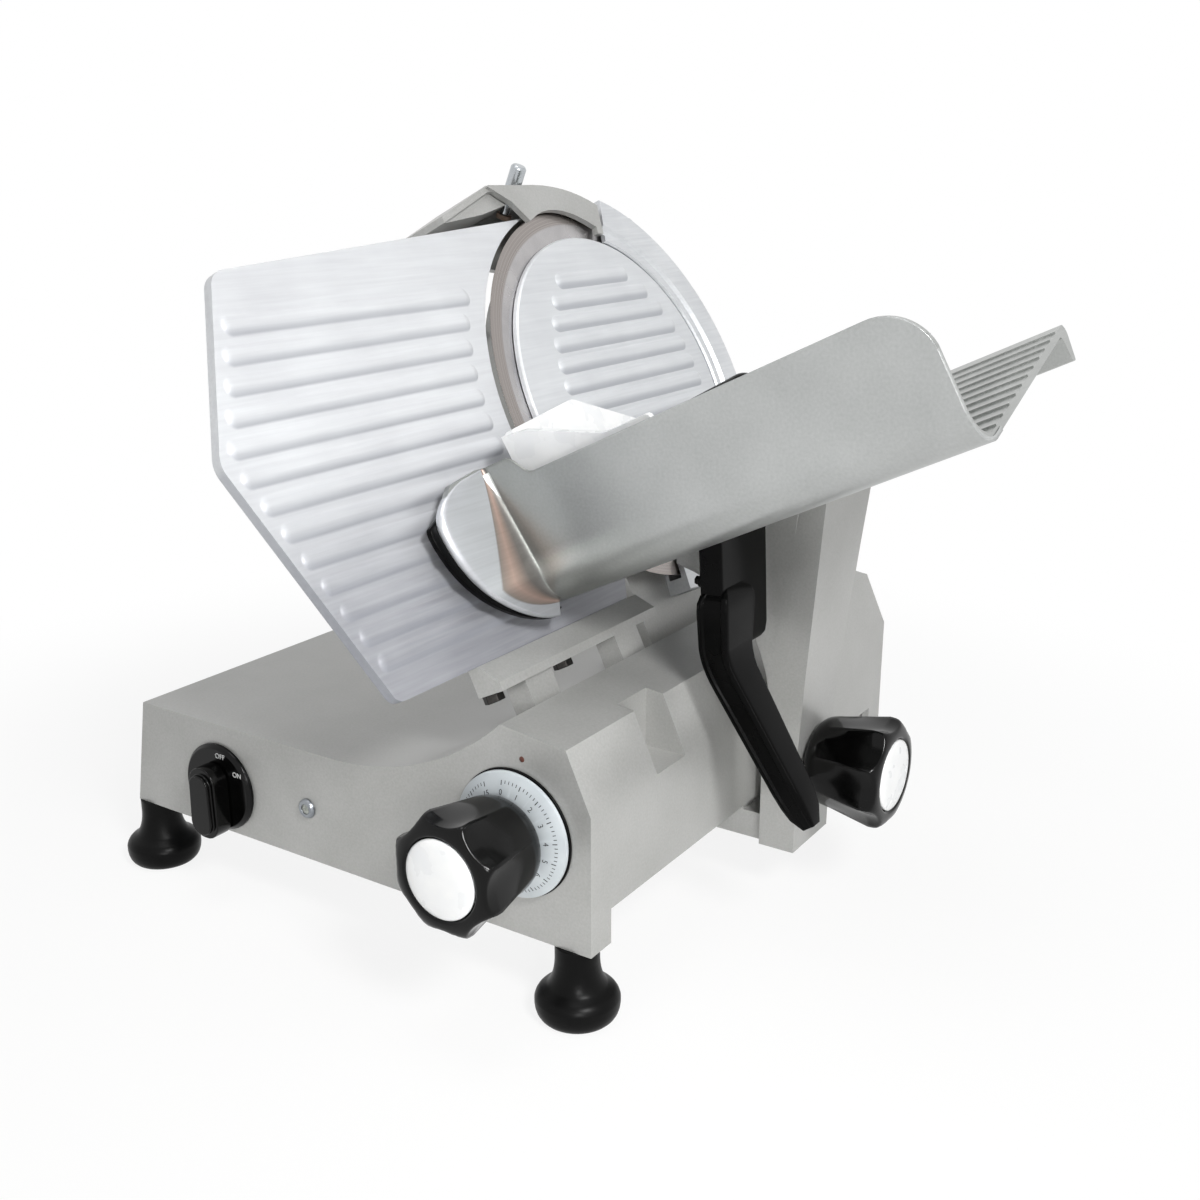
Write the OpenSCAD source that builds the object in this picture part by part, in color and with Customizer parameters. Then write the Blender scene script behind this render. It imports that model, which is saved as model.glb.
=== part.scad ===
// Gravity-feed electric food slicer: a cast base on four feet, a tilted blade with its
// gauge plate and ring guard, and a carriage that slides past the blade on a rod.
// Millimetres. X runs right along the front panel, Y runs back from it, Z is up.
// The origin lies on the table, midway between the feet.

/* [Base casting] */
// Width of the base across its lower edge
base_w = 348; // [336:1:360]
// Depth of the base from the front panel to the rear wall
base_d = 375; // [362:1:395]
// Height of the flat deck above the table
deck_h = 112; // [109:1:116]
// How far the left side leans in at the deck
left_draft = 13; // [6:1:18]
// Height of the ridge beside the gauge plate
ridge_h = 160; // [157:1:165]
// Distance of the ridge from the right side
ridge_in = 55.5; // [52:0.5:58]
// Length of the curved rise from the deck to the ridge
rise_run = 121; // [112:1:128]
// Height of the shoulder to the right of the ridge
shoulder_h = 155; // [152:1:158]
// Distance of the shoulder from the right side
shoulder_in = 15; // [12:1:18]
// Height at which the right side meets the shoulder chamfer
side_h = 122; // [116:1:128]
// Height of the sill that the carriage arm passes under
sill_h = 63; // [61:0.5:66]
// Depth of the corner posts in front of and behind the sill
post_d = 19; // [16:1:24]
// Wall thickness of the casting
wall = 5; // [4:0.5:6]
// Distance from the front panel to the shoulder notch
notch_y = 64; // [58:1:70]
// Width of the shoulder notch
notch_w = 30; // [24:1:34]
// Depth of the shoulder notch from the right side
notch_in = 26; // [22:1:30]
// Thickness of the sheet that closes the underside
floor_th = 2; // [1.5:0.5:3]

/* [Feet] */
// Height of a foot, and of the base above the table
foot_h = 43; // [40:1:45]
// Diameter of the flared sole
foot_d = 46; // [44:1:54]
// Diameter of the neck under the base
foot_neck_d = 24; // [22:1:28]
// Distance of the left feet from the left side of the base
foot_in_left = 8; // [8:0.5:14]
// Distance of the right feet from the right side of the base
foot_in_right = 15; // [11:0.5:16]
// Distance of a foot's centre from the front or rear of the base
foot_in_y = 9.5; // [9:0.5:16]
// Diameter of the screw that holds a foot
foot_screw_d = 8; // [6:1:10]

/* [Blade unit] */
// Tilt of the blade from the vertical, in degrees
tilt = 26; // [24:0.5:28]
// Height of the cutting line above the ridge
cut_rise = 20; // [17:1:23]
// Distance of the cutting line to the left of the ridge
cut_back = 27.5; // [25:0.5:30]
// Diameter of the blade
blade_d = 250; // [244:1:254]
// Height of the blade's centre up the slope from the cutting line
blade_up = 123; // [120:1:127]
// Distance of the blade's centre from the rear wall
blade_back = 126; // [118:1:132]
// Thickness of the blade at its hub
blade_th = 2.6; // [2:0.2:3.2]
// Diameter of the blade cover
cover_d = 211; // [205:1:215]
// Thickness of the blade cover
cover_th = 2.6; // [2:0.2:3]
// Width of the ring guard outside the blade
ring_w = 12; // [10:0.5:14]
// Running gap between the blade's edge and what surrounds it
rim_gap = 2.5; // [2:0.5:4]

/* [Drive] */
// Diameter of the blade shaft
shaft_d = 24; // [22:1:26]
// Outer diameter of the two blade bearings
bearing_d = 42; // [38:1:46]
// Width of a blade bearing
bearing_w = 11; // [9:1:12]
// Diameter of the large pulley on the blade shaft
big_pulley_d = 72; // [64:1:78]
// Diameter of the small pulley on the motor
small_pulley_d = 26; // [22:1:30]
// Width of the belt
belt_w = 9; // [7:1:10]
// Thickness of the belt
belt_th = 2.4; // [2:0.2:3]
// Diameter of the motor can
motor_d = 60; // [54:1:62]
// Length of the motor can
motor_len = 66; // [60:1:68]
// Distance of the motor shaft down the slope from the cutting line
motor_down = 79; // [76:0.5:82]

/* [Gauge plate] */
// Thickness of the gauge plate
plate_th = 6; // [5:0.5:7]
// Height of the plate's top left corner up the slope
plate_h = 227; // [220:1:232]
// Rise of the top edge from its left corner to the blade
plate_rise = 19; // [12:1:24]
// Reach of the plate in front of the blade's centre
plate_reach = 341; // [332:1:350]
// Height of the left corner where the plate narrows
plate_corner = 134; // [126:1:142]
// How much the left edge leans back at the top
plate_lean = 40; // [34:1:46]
// How much the plate narrows at its foot
plate_narrow = 49; // [42:1:56]
// Spacing of the ribs on the gauge plate
rib_pitch = 14.8; // [14:0.2:15.2]
// Number of ribs on the gauge plate
plate_ribs = 13; // [8:1:13]
// Width of a rib where it leaves its plate
rib_w = 12; // [9:0.5:13]
// Height of a rib above its plate
rib_h = 1.8; // [1.2:0.2:2]
// Greatest slice thickness, the travel of the plate
slice_max = 15; // [10:1:16]
// Diameter of the rods that the plate's carrier slides on
gauge_rod_d = 14; // [12:1:15]

/* [Dial and switch] */
// Diameter of the thickness dial
dial_d = 70; // [66:1:74]
// Thickness of the dial
dial_th = 7; // [5:0.5:9]
// Height of the dial's centre above the table
dial_h = 102; // [100:1:105]
// Distance of the dial's centre from the right side
dial_in = 47; // [45:1:49]
// Diameter of the knobs
knob_d = 64; // [58:1:66]
// Length of the knobs
knob_len = 45; // [40:1:48]
// Diameter of the cap on a knob
cap_d = 40; // [34:1:44]
// Diameter of the switch's round base
switch_d = 55; // [50:1:57]
// Distance of the switch from the left side
switch_in = 79; // [72:1:84]
// Height of the switch's centre above the table
switch_h = 72; // [70:1:76]
// Distance of the pilot lamp from the left side
lamp_in = 151; // [140:1:160]
// Diameter of the pilot lamp's bezel
lamp_d = 12; // [10:1:14]

/* [Carriage] */
// Length of the tray up the slope
tray_len = 267; // [255:1:275]
// Clearance between the tray and the cutting plane
tray_gap = 7; // [6.5:0.5:8]
// Depth of the tray floor, from the wall to the far lip
tray_d = 174; // [165:1:180]
// Rise of the floor to the back, in degrees
tray_rise = 13.5; // [12:0.5:14]
// Height of the tray wall
tray_wall_h = 72; // [66:1:78]
// Lean of the tray wall to the front, in degrees
tray_lean = 8; // [5:0.5:10]
// Thickness of the tray casting
tray_th = 4; // [3:0.5:5]
// Distance of the tray's inner corner in front of the blade's centre
tray_front = 170; // [165:1:174]
// Height of the tray's inner corner up the slope
tray_up = 15; // [14:0.5:18]
// Depth of the column at its foot
column_d = 48; // [42:1:54]
// Thickness of the column at its foot
column_th = 23; // [20:1:25]
// Gap between the column and the right side of the base
column_gap = 6; // [5:0.5:8]
// Distance of the column's front face behind the tray's inner corner
column_back = 97; // [90:1:104]
// Diameter of the carriage slide rod
slide_rod_d = 16; // [14:1:17]
// Distance of the slide rod from the right side
slide_rod_in = 21.5; // [21:0.5:23]
// Height of the slide rod above the table
slide_rod_h = 70; // [69.5:0.5:70.5]
// Diameter of the guide rod
guide_rod_d = 10; // [8:1:11]
// Distance of the guide rod from the right side
guide_rod_in = 62; // [58:1:66]
// Length of the sleeve on the slide rod
sleeve_len = 60; // [50:1:66]
// Width of the carriage handle
handle_w = 36; // [30:1:42]
// Thickness of the carriage handle
handle_th = 15; // [12:1:18]
// Diameter of the rod that the pusher slides on
pusher_rod_d = 9; // [8:0.5:10]

/* [Hidden] */
$fn = 72;
// Radial clearance of a shaft that runs in a bore
run_fit = 0.05;
// Radial clearance of a piece that is seated in its bore
seat_fit = 0.02;
// Clearance between pieces that pass each other
free_gap = 0.5;
// Overlap used where two shapes of one piece are joined
lap = 1;

half_w = base_w / 2;
front_y = -base_d / 2;
rear_y = base_d / 2;
base_z = foot_h;

// Section of the base, in X and Z
left_top = [-half_w + left_draft, deck_h];
ridge = [half_w - ridge_in, ridge_h];
shoulder = [half_w - shoulder_in, shoulder_h];
side_top = [half_w, side_h];
rise_x = ridge[0] - rise_run;
rise_h = ridge_h - deck_h;
rise_r = (rise_run * rise_run + rise_h * rise_h) / (2 * rise_h);
function rise_edge(inset) = deck_h + rise_r - sqrt(pow(rise_r + inset, 2) - rise_run * rise_run);

// Slope frame: y across, t up the blade plane, n square to it towards the carriage
cut_x = ridge[0] - cut_back;
cut_z = ridge_h + cut_rise;
blade_r = blade_d / 2;
blade_y = rear_y - blade_back;

// Stations along n behind and in front of the cutting plane
edge_n = 0;
cover_n = 0.8;
flange_n = -4;
flange_th = 5;
support_n = flange_n - flange_th - 2;
boss_len = 27;
pulley_n = support_n - boss_len - belt_w - 4;
ring_r = blade_r + ring_w;
support_r = 106;
boss_r = bearing_d / 2 + 9;
hub_r = 38;
blade_bore_r = 18;
tie_rod_r = 5;

// Stretch of the ring guard, in degrees from the rear, upwards
ring_from = -100;
ring_to = 70.5;

// Controls on the front panel
dial_x = half_w - dial_in;
switch_x = -half_w + switch_in;
lamp_x = -half_w + lamp_in;
lamp_z = switch_h + 4;
dial_shaft_r = 6;
dial_axis_n = (dial_x - cut_x) * cos(tilt) + (dial_h - cut_z) * sin(tilt);
dial_axis_t = (cut_x - dial_x) * sin(tilt) + (dial_h - cut_z) * cos(tilt);
dial_turn = 330;
scroll_r = 11;
pin_r = 2.5;
scroll_th = 6;
scroll_y = front_y + wall + 12;

// Gauge carrier
gauge_rod_t = -60;
gauge_rod_n0 = -72;
gauge_rod_n1 = 42;
leg_n0 = -7;
leg_n1 = 8;
leg_w = 24;
leg_front = front_y + 52;
leg_rear = front_y + 140;
bar_n = 10;
bar_t = 16;
plate_n = edge_n - rib_h;
foot_y = blade_y - plate_reach + plate_narrow;
plate_end = blade_y - 0.656 * blade_r;

// Tray section
tray_y = blade_y - tray_front;
tray_n1 = tray_gap + tray_len;
lobe_n = tray_gap + 4;
guard_over = 5;

// Carriage
column_x = half_w + column_gap;
column_y = tray_y + column_back;
column_z = 35;
column_mid = column_y + column_d / 2;
arm_h = 17;
slide_x = half_w - slide_rod_in;
guide_x = half_w - guide_rod_in;
guide_z = 53;
sleeve_r = slide_rod_d / 2 + 6;
bush_r = slide_rod_d / 2 + 3;
knob_z = 90;
lock_stem_r = 6;
pusher_y = tray_y + tray_d * cos(tray_rise) + 17;
pusher_t = tray_up + tray_d * sin(tray_rise) - 13;
pusher_n = tray_gap + 8;

// Places its children in the slope frame: X is y, Y is t, Z is n
module slope() {
    translate([cut_x, 0, cut_z]) rotate([0, -tilt, 0]) rotate([90, 0, 90]) children();
}

// Places its children on the blade's axis, in the slope frame
module on_blade() {
    slope() translate([blade_y, blade_up, 0]) children();
}

// Extrudes a section drawn in X and Z along the depth of the base
module along_depth(from, length) {
    translate([0, front_y + from + length, 0]) rotate([90, 0, 0]) linear_extrude(length) children();
}

// A cylinder along Y, from the given point backwards
module rod_y(at, r, h) {
    translate(at) rotate([-90, 0, 0]) cylinder(r = r, h = h);
}

// A flat ring
module ring(r_out, r_in, h) {
    difference() {
        cylinder(r = r_out, h = h);
        translate([0, 0, -lap]) cylinder(r = r_in, h = h + 2 * lap);
    }
}

// A slice of a disc between two angles
module pie(r, from, to, h) {
    steps = ceil((to - from) / 20);
    arc = [for (i = [0 : steps]) from + (to - from) * i / steps];
    linear_extrude(h) polygon(concat([[0, 0]], [for (a = arc) 2 * r * [cos(a), sin(a)]]));
}

function unit(v) = v / norm(v);

// Points of an outline whose corners are rounded by the radii given
function rounded(pts, radii, steps = 6) = [
    for (i = [0 : len(pts) - 1])
        let (p = pts[i],
            a = unit(pts[(i + len(pts) - 1) % len(pts)] - p),
            b = unit(pts[(i + 1) % len(pts)] - p),
            half = acos(a * b) / 2,
            r = radii[i],
            c = p + unit(a + b) * r / sin(half),
            from = p + a * r / tan(half) - c,
            to = p + b * r / tan(half) - c)
        for (k = [0 : r > 0 ? steps : 0])
            r > 0 ? c + r * unit(from * (steps - k) + to * k) : p
];

// Points of a curve pulled towards one control point
function curve(a, pull, b, steps = 10) = [
    for (i = [0 : steps]) let (s = i / steps) a * (1 - s) * (1 - s) + pull * 2 * s * (1 - s) + b * s * s
];

// The base's section, drawn in by the wall where inset is set
module base_section(inset) {
    low = inset > 0 ? base_z - lap : base_z;
    top = deck_h - inset;
    edge = rise_edge(inset);
    polygon([[-half_w + inset, low], left_top + [inset, -inset], [rise_x, top], [ridge[0], top],
        [ridge[0], edge], shoulder - [inset * 0.6, inset], side_top - [inset, inset * 0.4],
        [half_w - inset, low]]);
    difference() {
        polygon([[rise_x, top - lap], [ridge[0], top - lap], [ridge[0], edge], [rise_x, top]]);
        translate([rise_x, deck_h + rise_r]) circle(r = rise_r + inset, $fn = 180);
    }
}

// The outside of the base as one block, for pieces that sit on it
module base_block() {
    along_depth(0, base_d) base_section(0);
}

// Positions of the four feet
foot_left = -half_w + foot_in_left;
foot_right = half_w - foot_in_right;
foot_dy = base_d / 2 - foot_in_y;
feet = [[foot_left, -foot_dy], [foot_right, -foot_dy], [foot_left, foot_dy], [foot_right, foot_dy]];

rod_boss_r = 4;
rod_boss_len = 10;

// Bosses in the front and rear walls that hold a rod
module rod_bosses(x, z, r) {
    rod_y([x, front_y + wall - lap, z], r + rod_boss_r, rod_boss_len + lap);
    rod_y([x, rear_y - wall - rod_boss_len, z], r + rod_boss_r, rod_boss_len + lap);
}

lug_th = 8;

// Lugs inside the base that hold the ends of a gauge rod
module gauge_lugs(y) {
    intersection() {
        base_block();
        slope() for (n = [gauge_rod_n0, gauge_rod_n1 - lug_th])
            translate([y - leg_w / 2, gauge_rod_t - gauge_rod_d, n]) cube([leg_w, 140, lug_th]);
    }
}

// The opening in the base that a gauge leg moves in
module gauge_slot(y) {
    slope() translate([y - leg_w / 2 - 2, gauge_rod_t + 6, leg_n0 - slice_max - 2])
        cube([leg_w + 4, 90, leg_n1 - leg_n0 + slice_max + 4]);
}

belt_room = 6;

// The opening in the base that the belt passes through
module belt_slot() {
    w = big_pulley_d / 2 + belt_room;
    slope() translate([blade_y - w, -motor_down - 10, pulley_n - 2]) cube([2 * w, 90, belt_w + 4]);
}

cover_edge_x = guide_x - guide_rod_d / 2 - 12;
cover_screw_r = 2;
cover_screw_at = [for (x = [-half_w + 40, cover_edge_x - 12], y = [front_y + 28, 0, rear_y - 28]) [x, y]];

// Bosses in the base that take the screws of the bottom cover
module cover_bosses() {
    for (p = cover_screw_at) intersection() {
        translate([p[0], p[1], base_z + floor_th]) cylinder(r = 5, h = ridge_h);
        base_block();
    }
}

gland_x = -half_w + 70;
gland_z = 80;
gland_r = 9;
switch_hole_r = 9;

module base_housing() {
    color("gainsboro") difference() {
        union() {
            difference() {
                base_block();
                along_depth(wall, base_d - 2 * wall) base_section(wall);
            }
            rod_bosses(slide_x, slide_rod_h, slide_rod_d / 2);
            rod_bosses(guide_x, guide_z, guide_rod_d / 2);
            gauge_lugs(leg_front);
            gauge_lugs(leg_rear);
            cover_bosses();
            intersection() {
                translate([half_w - notch_in - wall, front_y + notch_y - wall, side_h - wall])
                    cube([notch_in + wall, notch_w + 2 * wall, ridge_h]);
                base_block();
            }
            for (p = feet) translate([p[0], p[1], base_z]) intersection() {
                cylinder(r = foot_neck_d / 2, h = 22);
                translate([-p[0], -p[1], -base_z]) base_block();
            }
        }
        // Sill under the right side
        translate([half_w - wall - lap, front_y + post_d, base_z - lap])
            cube([wall + 2 * lap, base_d - 2 * post_d, sill_h - base_z + lap]);
        // Notch in the shoulder
        translate([half_w - notch_in, front_y + notch_y, side_h])
            cube([notch_in + lap, notch_w, ridge_h - side_h]);
        // Openings for the gauge legs and the belt
        gauge_slot(leg_front);
        gauge_slot(leg_rear);
        belt_slot();
        // Bores in the walls
        rod_y([slide_x, front_y + wall / 2, slide_rod_h], slide_rod_d / 2 + seat_fit, base_d - wall);
        rod_y([guide_x, front_y + wall / 2, guide_z], guide_rod_d / 2 + seat_fit, base_d - wall);
        rod_y([dial_x, front_y - lap, dial_h], dial_shaft_r + run_fit, wall + 2 * lap);
        rod_y([switch_x, front_y - lap, switch_h], switch_hole_r, wall + 2 * lap);
        rod_y([lamp_x, front_y - lap, lamp_z], lamp_d / 2 - 1.5, wall + 2 * lap);
        rod_y([gland_x, rear_y - wall - lap, gland_z], gland_r, wall + 2 * lap);
        slope() for (y = [leg_front, leg_rear])
            translate([y, gauge_rod_t, gauge_rod_n0 - lap])
                cylinder(r = gauge_rod_d / 2 + seat_fit, h = gauge_rod_n1 - gauge_rod_n0 + 2 * lap);
        for (p = feet) translate([p[0], p[1], base_z - lap])
            cylinder(r = foot_screw_d / 2 + seat_fit, h = foot_thread + 1 + lap);
        for (p = cover_screw_at) translate([p[0], p[1], base_z]) cylinder(r = cover_screw_r, h = 14);
        support_holes();
    }
}

module bottom_cover() {
    color("silver") difference() {
        translate([-half_w + wall + 3 * free_gap, front_y + wall + free_gap, base_z])
            cube([cover_edge_x + half_w - wall - 3 * free_gap, base_d - 2 * (wall + free_gap), floor_th]);
        for (p = cover_screw_at) translate([p[0], p[1], base_z - lap])
            cylinder(r = cover_screw_r + 0.3, h = floor_th + 2 * lap);
        for (p = feet) translate([p[0], p[1], base_z - lap])
            cylinder(r = foot_neck_d / 2 + free_gap, h = floor_th + 2 * lap);
        // Cooling slots below the motor
        for (i = [-3 : 3]) translate([cover_edge_x - 70, blade_y + i * 14 - 3, base_z - lap])
            cube([50, 6, floor_th + 2 * lap]);
    }
}

sole_h = 12.5;
foot_thread = 10;

// Moulded foot with a straight neck and a flared sole
module foot(i) {
    sole = foot_d / 2;
    neck = foot_neck_d / 2;
    translate([feet[i][0], feet[i][1], 0]) difference() {
        rotate_extrude() polygon(concat([[0, 0], [sole - 5, 0]],
            curve([sole - 3.5, 0.6], [sole - 0.4, 3], [sole, sole_h - 4], 4),
            curve([sole, sole_h - 1], [sole - 0.8, sole_h + 3], [sole - 4.5, sole_h + 5], 4),
            curve([sole - 6.5, sole_h + 6.5], [neck + 0.5, sole_h + 11], [neck, foot_h - 9], 6),
            [[neck, foot_h], [0, foot_h]]));
        translate([0, 0, -lap]) cylinder(r = foot_screw_d / 2 + seat_fit, h = foot_h + 2 * lap);
        translate([0, 0, -lap]) cylinder(r = foot_screw_d, h = 8 + lap);
    }
}

module foot_front_left() { color("#1b1b1c") foot(0); }
module foot_front_right() { color("#1b1b1c") foot(1); }
module foot_rear_left() { color("#1b1b1c") foot(2); }
module foot_rear_right() { color("#1b1b1c") foot(3); }

// Pan-head screws up through the feet
module foot_screws() {
    color("silver") for (p = feet) translate([p[0], p[1], 4]) {
        cylinder(r = foot_screw_d - free_gap, h = 4);
        translate([0, 0, 3]) cylinder(r = foot_screw_d / 2, h = foot_h + foot_thread - 7);
    }
}

module cover_screws() {
    color("silver") for (p = cover_screw_at) translate([p[0], p[1], base_z]) {
        translate([0, 0, -2]) cylinder(r = 3.6, h = 2);
        translate([0, 0, -lap]) cylinder(r = cover_screw_r - seat_fit, h = 12);
    }
}

switch_base_th = 4;
switch_stem_r = 5;
lever_w = 21;
lever_th = 14;

module switch_base() {
    color("#161617") translate([switch_x, front_y, switch_h]) rotate([90, 0, 0]) difference() {
        union() {
            rotate_extrude() polygon([[0, 0], [switch_d / 2, 0], [switch_d / 2, 2],
                [switch_d / 2 - 2, switch_base_th], [0, switch_base_th]]);
            translate([0, 0, -wall - 16]) cylinder(r = switch_hole_r - free_gap, h = wall + 16 + lap);
        }
        translate([0, 0, -12]) cylinder(r = switch_stem_r + run_fit, h = 12 + switch_base_th + lap);
    }
}

// Lever grip that hangs below its turning point and has a short pointer above it
module switch_lever() {
    tail = switch_d / 2 + 1;
    nose = switch_d / 4 + 3;
    grip = rounded([[-lever_w / 2, nose], [-lever_w / 2 - 1, -tail], [lever_w / 2 + 1, -tail], [lever_w / 2, nose]],
        [10, 10, 10, 10]);
    top = rounded([[-lever_w / 2 + 3, nose - 4], [-lever_w / 2 + 2, -tail + 3], [lever_w / 2 - 2, -tail + 3],
        [lever_w / 2 - 3, nose - 4]], [7, 8, 8, 7]);
    color("#161617") translate([switch_x, front_y - switch_base_th - free_gap, switch_h]) rotate([90, 0, 0]) {
        linear_extrude(lever_th * 0.8) polygon(grip);
        translate([0, 0, lever_th * 0.8 - lap]) linear_extrude(lever_th * 0.2 + lap) polygon(top);
        translate([0, 0, -10]) cylinder(r = switch_stem_r, h = 10 + lap);
    }
}

bezel_th = 2.5;

module pilot_bezel() {
    color("silver") translate([lamp_x, front_y, lamp_z]) rotate([90, 0, 0]) rotate_extrude() polygon([
        [lamp_d / 2 - 3, -wall - 4], [lamp_d / 2 - 1.5 - seat_fit, -wall - 4], [lamp_d / 2 - 1.5 - seat_fit, 0],
        [lamp_d / 2, 0], [lamp_d / 2, 1], [lamp_d / 2 - 1, bezel_th], [lamp_d / 2 - 3, bezel_th]]);
}

module pilot_lens() {
    color("#8a8d88") translate([lamp_x, front_y, lamp_z]) rotate([90, 0, 0]) rotate_extrude() polygon([
        [0, -wall - 4], [lamp_d / 2 - 3 - seat_fit, -wall - 4], [lamp_d / 2 - 3 - seat_fit, bezel_th - 0.5],
        [0, bezel_th + 0.8]]);
}

gasket_th = 1.5;

module dial_gasket() {
    color("#161617") translate([dial_x, front_y, dial_h]) rotate([90, 0, 0])
        ring(dial_d / 2 + 0.7, dial_d / 2 - 5, gasket_th);
}

module dial_ring() {
    y = front_y - gasket_th - free_gap;
    color("gainsboro") translate([dial_x, y, dial_h]) rotate([90, 0, 0]) difference() {
        rotate_extrude() polygon([[0, 0], [dial_d / 2, 0], [dial_d / 2, dial_th * 0.3],
            [dial_d / 2 - 3, dial_th * 0.5], [knob_d / 2 - 10, dial_th], [0, dial_th]]);
        translate([0, 0, -lap]) cylinder(r = dial_shaft_r + seat_fit, h = dial_th + 2 * lap);
    }
}

lobes = 8;
lobe_cut_r = 35;
lobe_depth = 2.6;
lobe_tilt = 1.5;

// Lobed knob, drawn along Z with its back face at zero
module knob(bore_r, bore_len) {
    r = knob_d / 2;
    difference() {
        rotate_extrude() polygon(concat([[0, 0], [r - 9, 0]], curve([r - 8, 1], [r - 2, 5], [r, 16], 5),
            curve([r, knob_len - 9], [r - 1, knob_len - 1], [r - 8, knob_len], 5),
            [[cap_d / 2 + 1, knob_len], [cap_d / 2 + 0.2, knob_len - 1.5], [0, knob_len - 1.5]]));
        for (i = [0 : lobes - 1]) rotate(i * 360 / lobes)
            translate([r + lobe_cut_r - lobe_depth, 0, 0]) rotate([0, -lobe_tilt, 0]) translate([0, 0, -15])
                cylinder(r = lobe_cut_r, h = knob_len + 7);
        if (bore_len > 0) translate([0, 0, -lap]) cylinder(r = bore_r, h = bore_len + lap);
    }
}

module knob_cap() {
    translate([0, 0, knob_len - 1.5]) rotate_extrude() polygon(concat([[0, 0], [cap_d / 2, 0]],
        curve([cap_d / 2, 1], [cap_d / 2 - 2, 2.6], [0, 3], 5)));
}

dial_knob_y = front_y - gasket_th - free_gap - dial_th;

module dial_knob() {
    color("#141415") translate([dial_x, dial_knob_y, dial_h]) rotate([90, 0, 0])
        knob(dial_shaft_r + seat_fit, 24);
}

module dial_cap() {
    color("white") translate([dial_x, dial_knob_y, dial_h]) rotate([90, 0, 0]) knob_cap();
}

module dial_shaft() {
    color("silver") rod_y([dial_x, dial_knob_y - 24, dial_h], dial_shaft_r,
        scroll_y + scroll_th - dial_knob_y + 24);
}

// Radius of the scroll groove after the dial has turned by an angle
function groove_r(turned) = scroll_r + slice_max * turned / dial_turn;
groove_w = pin_r + 0.45;
scroll_steps = 44;

// Disc behind the front panel whose spiral groove drives the gauge carrier's pin
module scroll_cam() {
    outer = scroll_r + slice_max + groove_w + 1.4;
    turns = [for (i = [-2 : scroll_steps + 2]) dial_turn * i / scroll_steps];
    // The pin sits towards minus n, and the dial turns so that the groove widens past it
    function at(a, r) = r * [cos(180 + tilt + a), sin(180 + tilt + a)];
    color("silver") translate([dial_x, scroll_y, dial_h]) rotate([-90, 0, 0]) difference() {
        cylinder(r = outer, h = scroll_th);
        translate([0, 0, 2]) linear_extrude(scroll_th) mirror([0, 1]) polygon(concat(
            [for (a = turns) at(-a, groove_r(a) + groove_w)],
            [for (i = [len(turns) - 1 : -1 : 0]) at(-turns[i], groove_r(turns[i]) - groove_w)]));
        translate([0, 0, -lap]) cylinder(r = dial_shaft_r + seat_fit, h = scroll_th + 2 * lap);
    }
}

// Threaded inlet for a supply lead, with its lock nut inside the wall
module cable_gland() {
    color("#1b1b1c") translate([gland_x, rear_y, gland_z]) rotate([-90, 0, 0]) difference() {
        union() {
            translate([0, 0, -wall - 8]) cylinder(r = gland_r - seat_fit, h = wall + 8 + lap);
            cylinder(r = gland_r + 4, h = 7, $fn = 6);
            cylinder(r = gland_r - 1, h = 13);
            translate([0, 0, -wall - 5]) cylinder(r = gland_r + 3, h = 5, $fn = 6);
        }
        translate([0, 0, -wall - 8 - lap]) cylinder(r = 4, h = wall + 30);
    }
}

module slide_rod() {
    color("silver") rod_y([slide_x, front_y + wall / 2 + seat_fit, slide_rod_h], slide_rod_d / 2, base_d - wall - 2 * seat_fit);
}

module guide_rod() {
    color("silver") rod_y([guide_x, front_y + wall / 2 + seat_fit, guide_z], guide_rod_d / 2, base_d - wall - 2 * seat_fit);
}

module gauge_rods() {
    color("silver") slope() for (y = [leg_front, leg_rear]) translate([y, gauge_rod_t, gauge_rod_n0])
        cylinder(r = gauge_rod_d / 2, h = gauge_rod_n1 - gauge_rod_n0);
}

plate_arc_r = blade_r + rim_gap;
plate_left = blade_y - plate_reach;

// Left edge of the gauge plate at a height up the slope
function plate_edge(t) = t > plate_corner
    ? plate_left + plate_lean * (t - plate_corner) / (plate_h - plate_corner)
    : plate_left + plate_narrow * (plate_corner - t) / plate_corner;

// Edge of the gauge plate beside the blade, at a height up the slope
function arc_edge(t) = blade_y - sqrt(max(0, pow(plate_arc_r + 13, 2) - pow(t - blade_up, 2)));

// Rounded rib that lies along y in the slope frame, a given width across at its foot
module rib(from, to, t, width) {
    rib_r = (width * width / 4 + rib_h * rib_h) / (2 * rib_h);
    length = to - from - width;
    translate([from + width / 2, t, -rib_r]) {
        rotate([0, 90, 0]) cylinder(r = rib_r, h = length);
        sphere(r = rib_r);
        translate([length, 0, 0]) sphere(r = rib_r);
    }
}

rib_margin = 4;
first_rib = plate_h - 28;

module gauge_plate() {
    tip_y = blade_y - sqrt(max(0, pow(plate_arc_r, 2) - pow(plate_h + plate_rise - blade_up, 2))) + 14;
    outline = rounded([[foot_y, 0], [plate_end, 0], [plate_end + 30, blade_up / 2], [tip_y, blade_up],
        [tip_y, plate_h + plate_rise], [plate_left + plate_lean, plate_h], [plate_left, plate_corner]],
        [7, 3, 0, 0, 0, 12, 14]);
    color("whitesmoke") slope() difference() {
        union() {
            translate([0, 0, plate_n - plate_th]) linear_extrude(plate_th) polygon(outline);
            intersection() {
                for (i = [0 : plate_ribs - 1]) {
                    t = first_rib - i * rib_pitch;
                    translate([0, 0, edge_n])
                        rib(plate_edge(t) + rib_margin, min(arc_edge(t), plate_end + 4), t, rib_w);
                }
                translate([0, 0, plate_n - lap]) linear_extrude(rib_h + 2 * lap) polygon(outline);
            }
        }
        translate([blade_y, blade_up, plate_n - plate_th - lap])
            cylinder(r = plate_arc_r, h = plate_th + rib_h + 3 * lap, $fn = 180);
        gauge_bolt_holes();
    }
}

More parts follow.
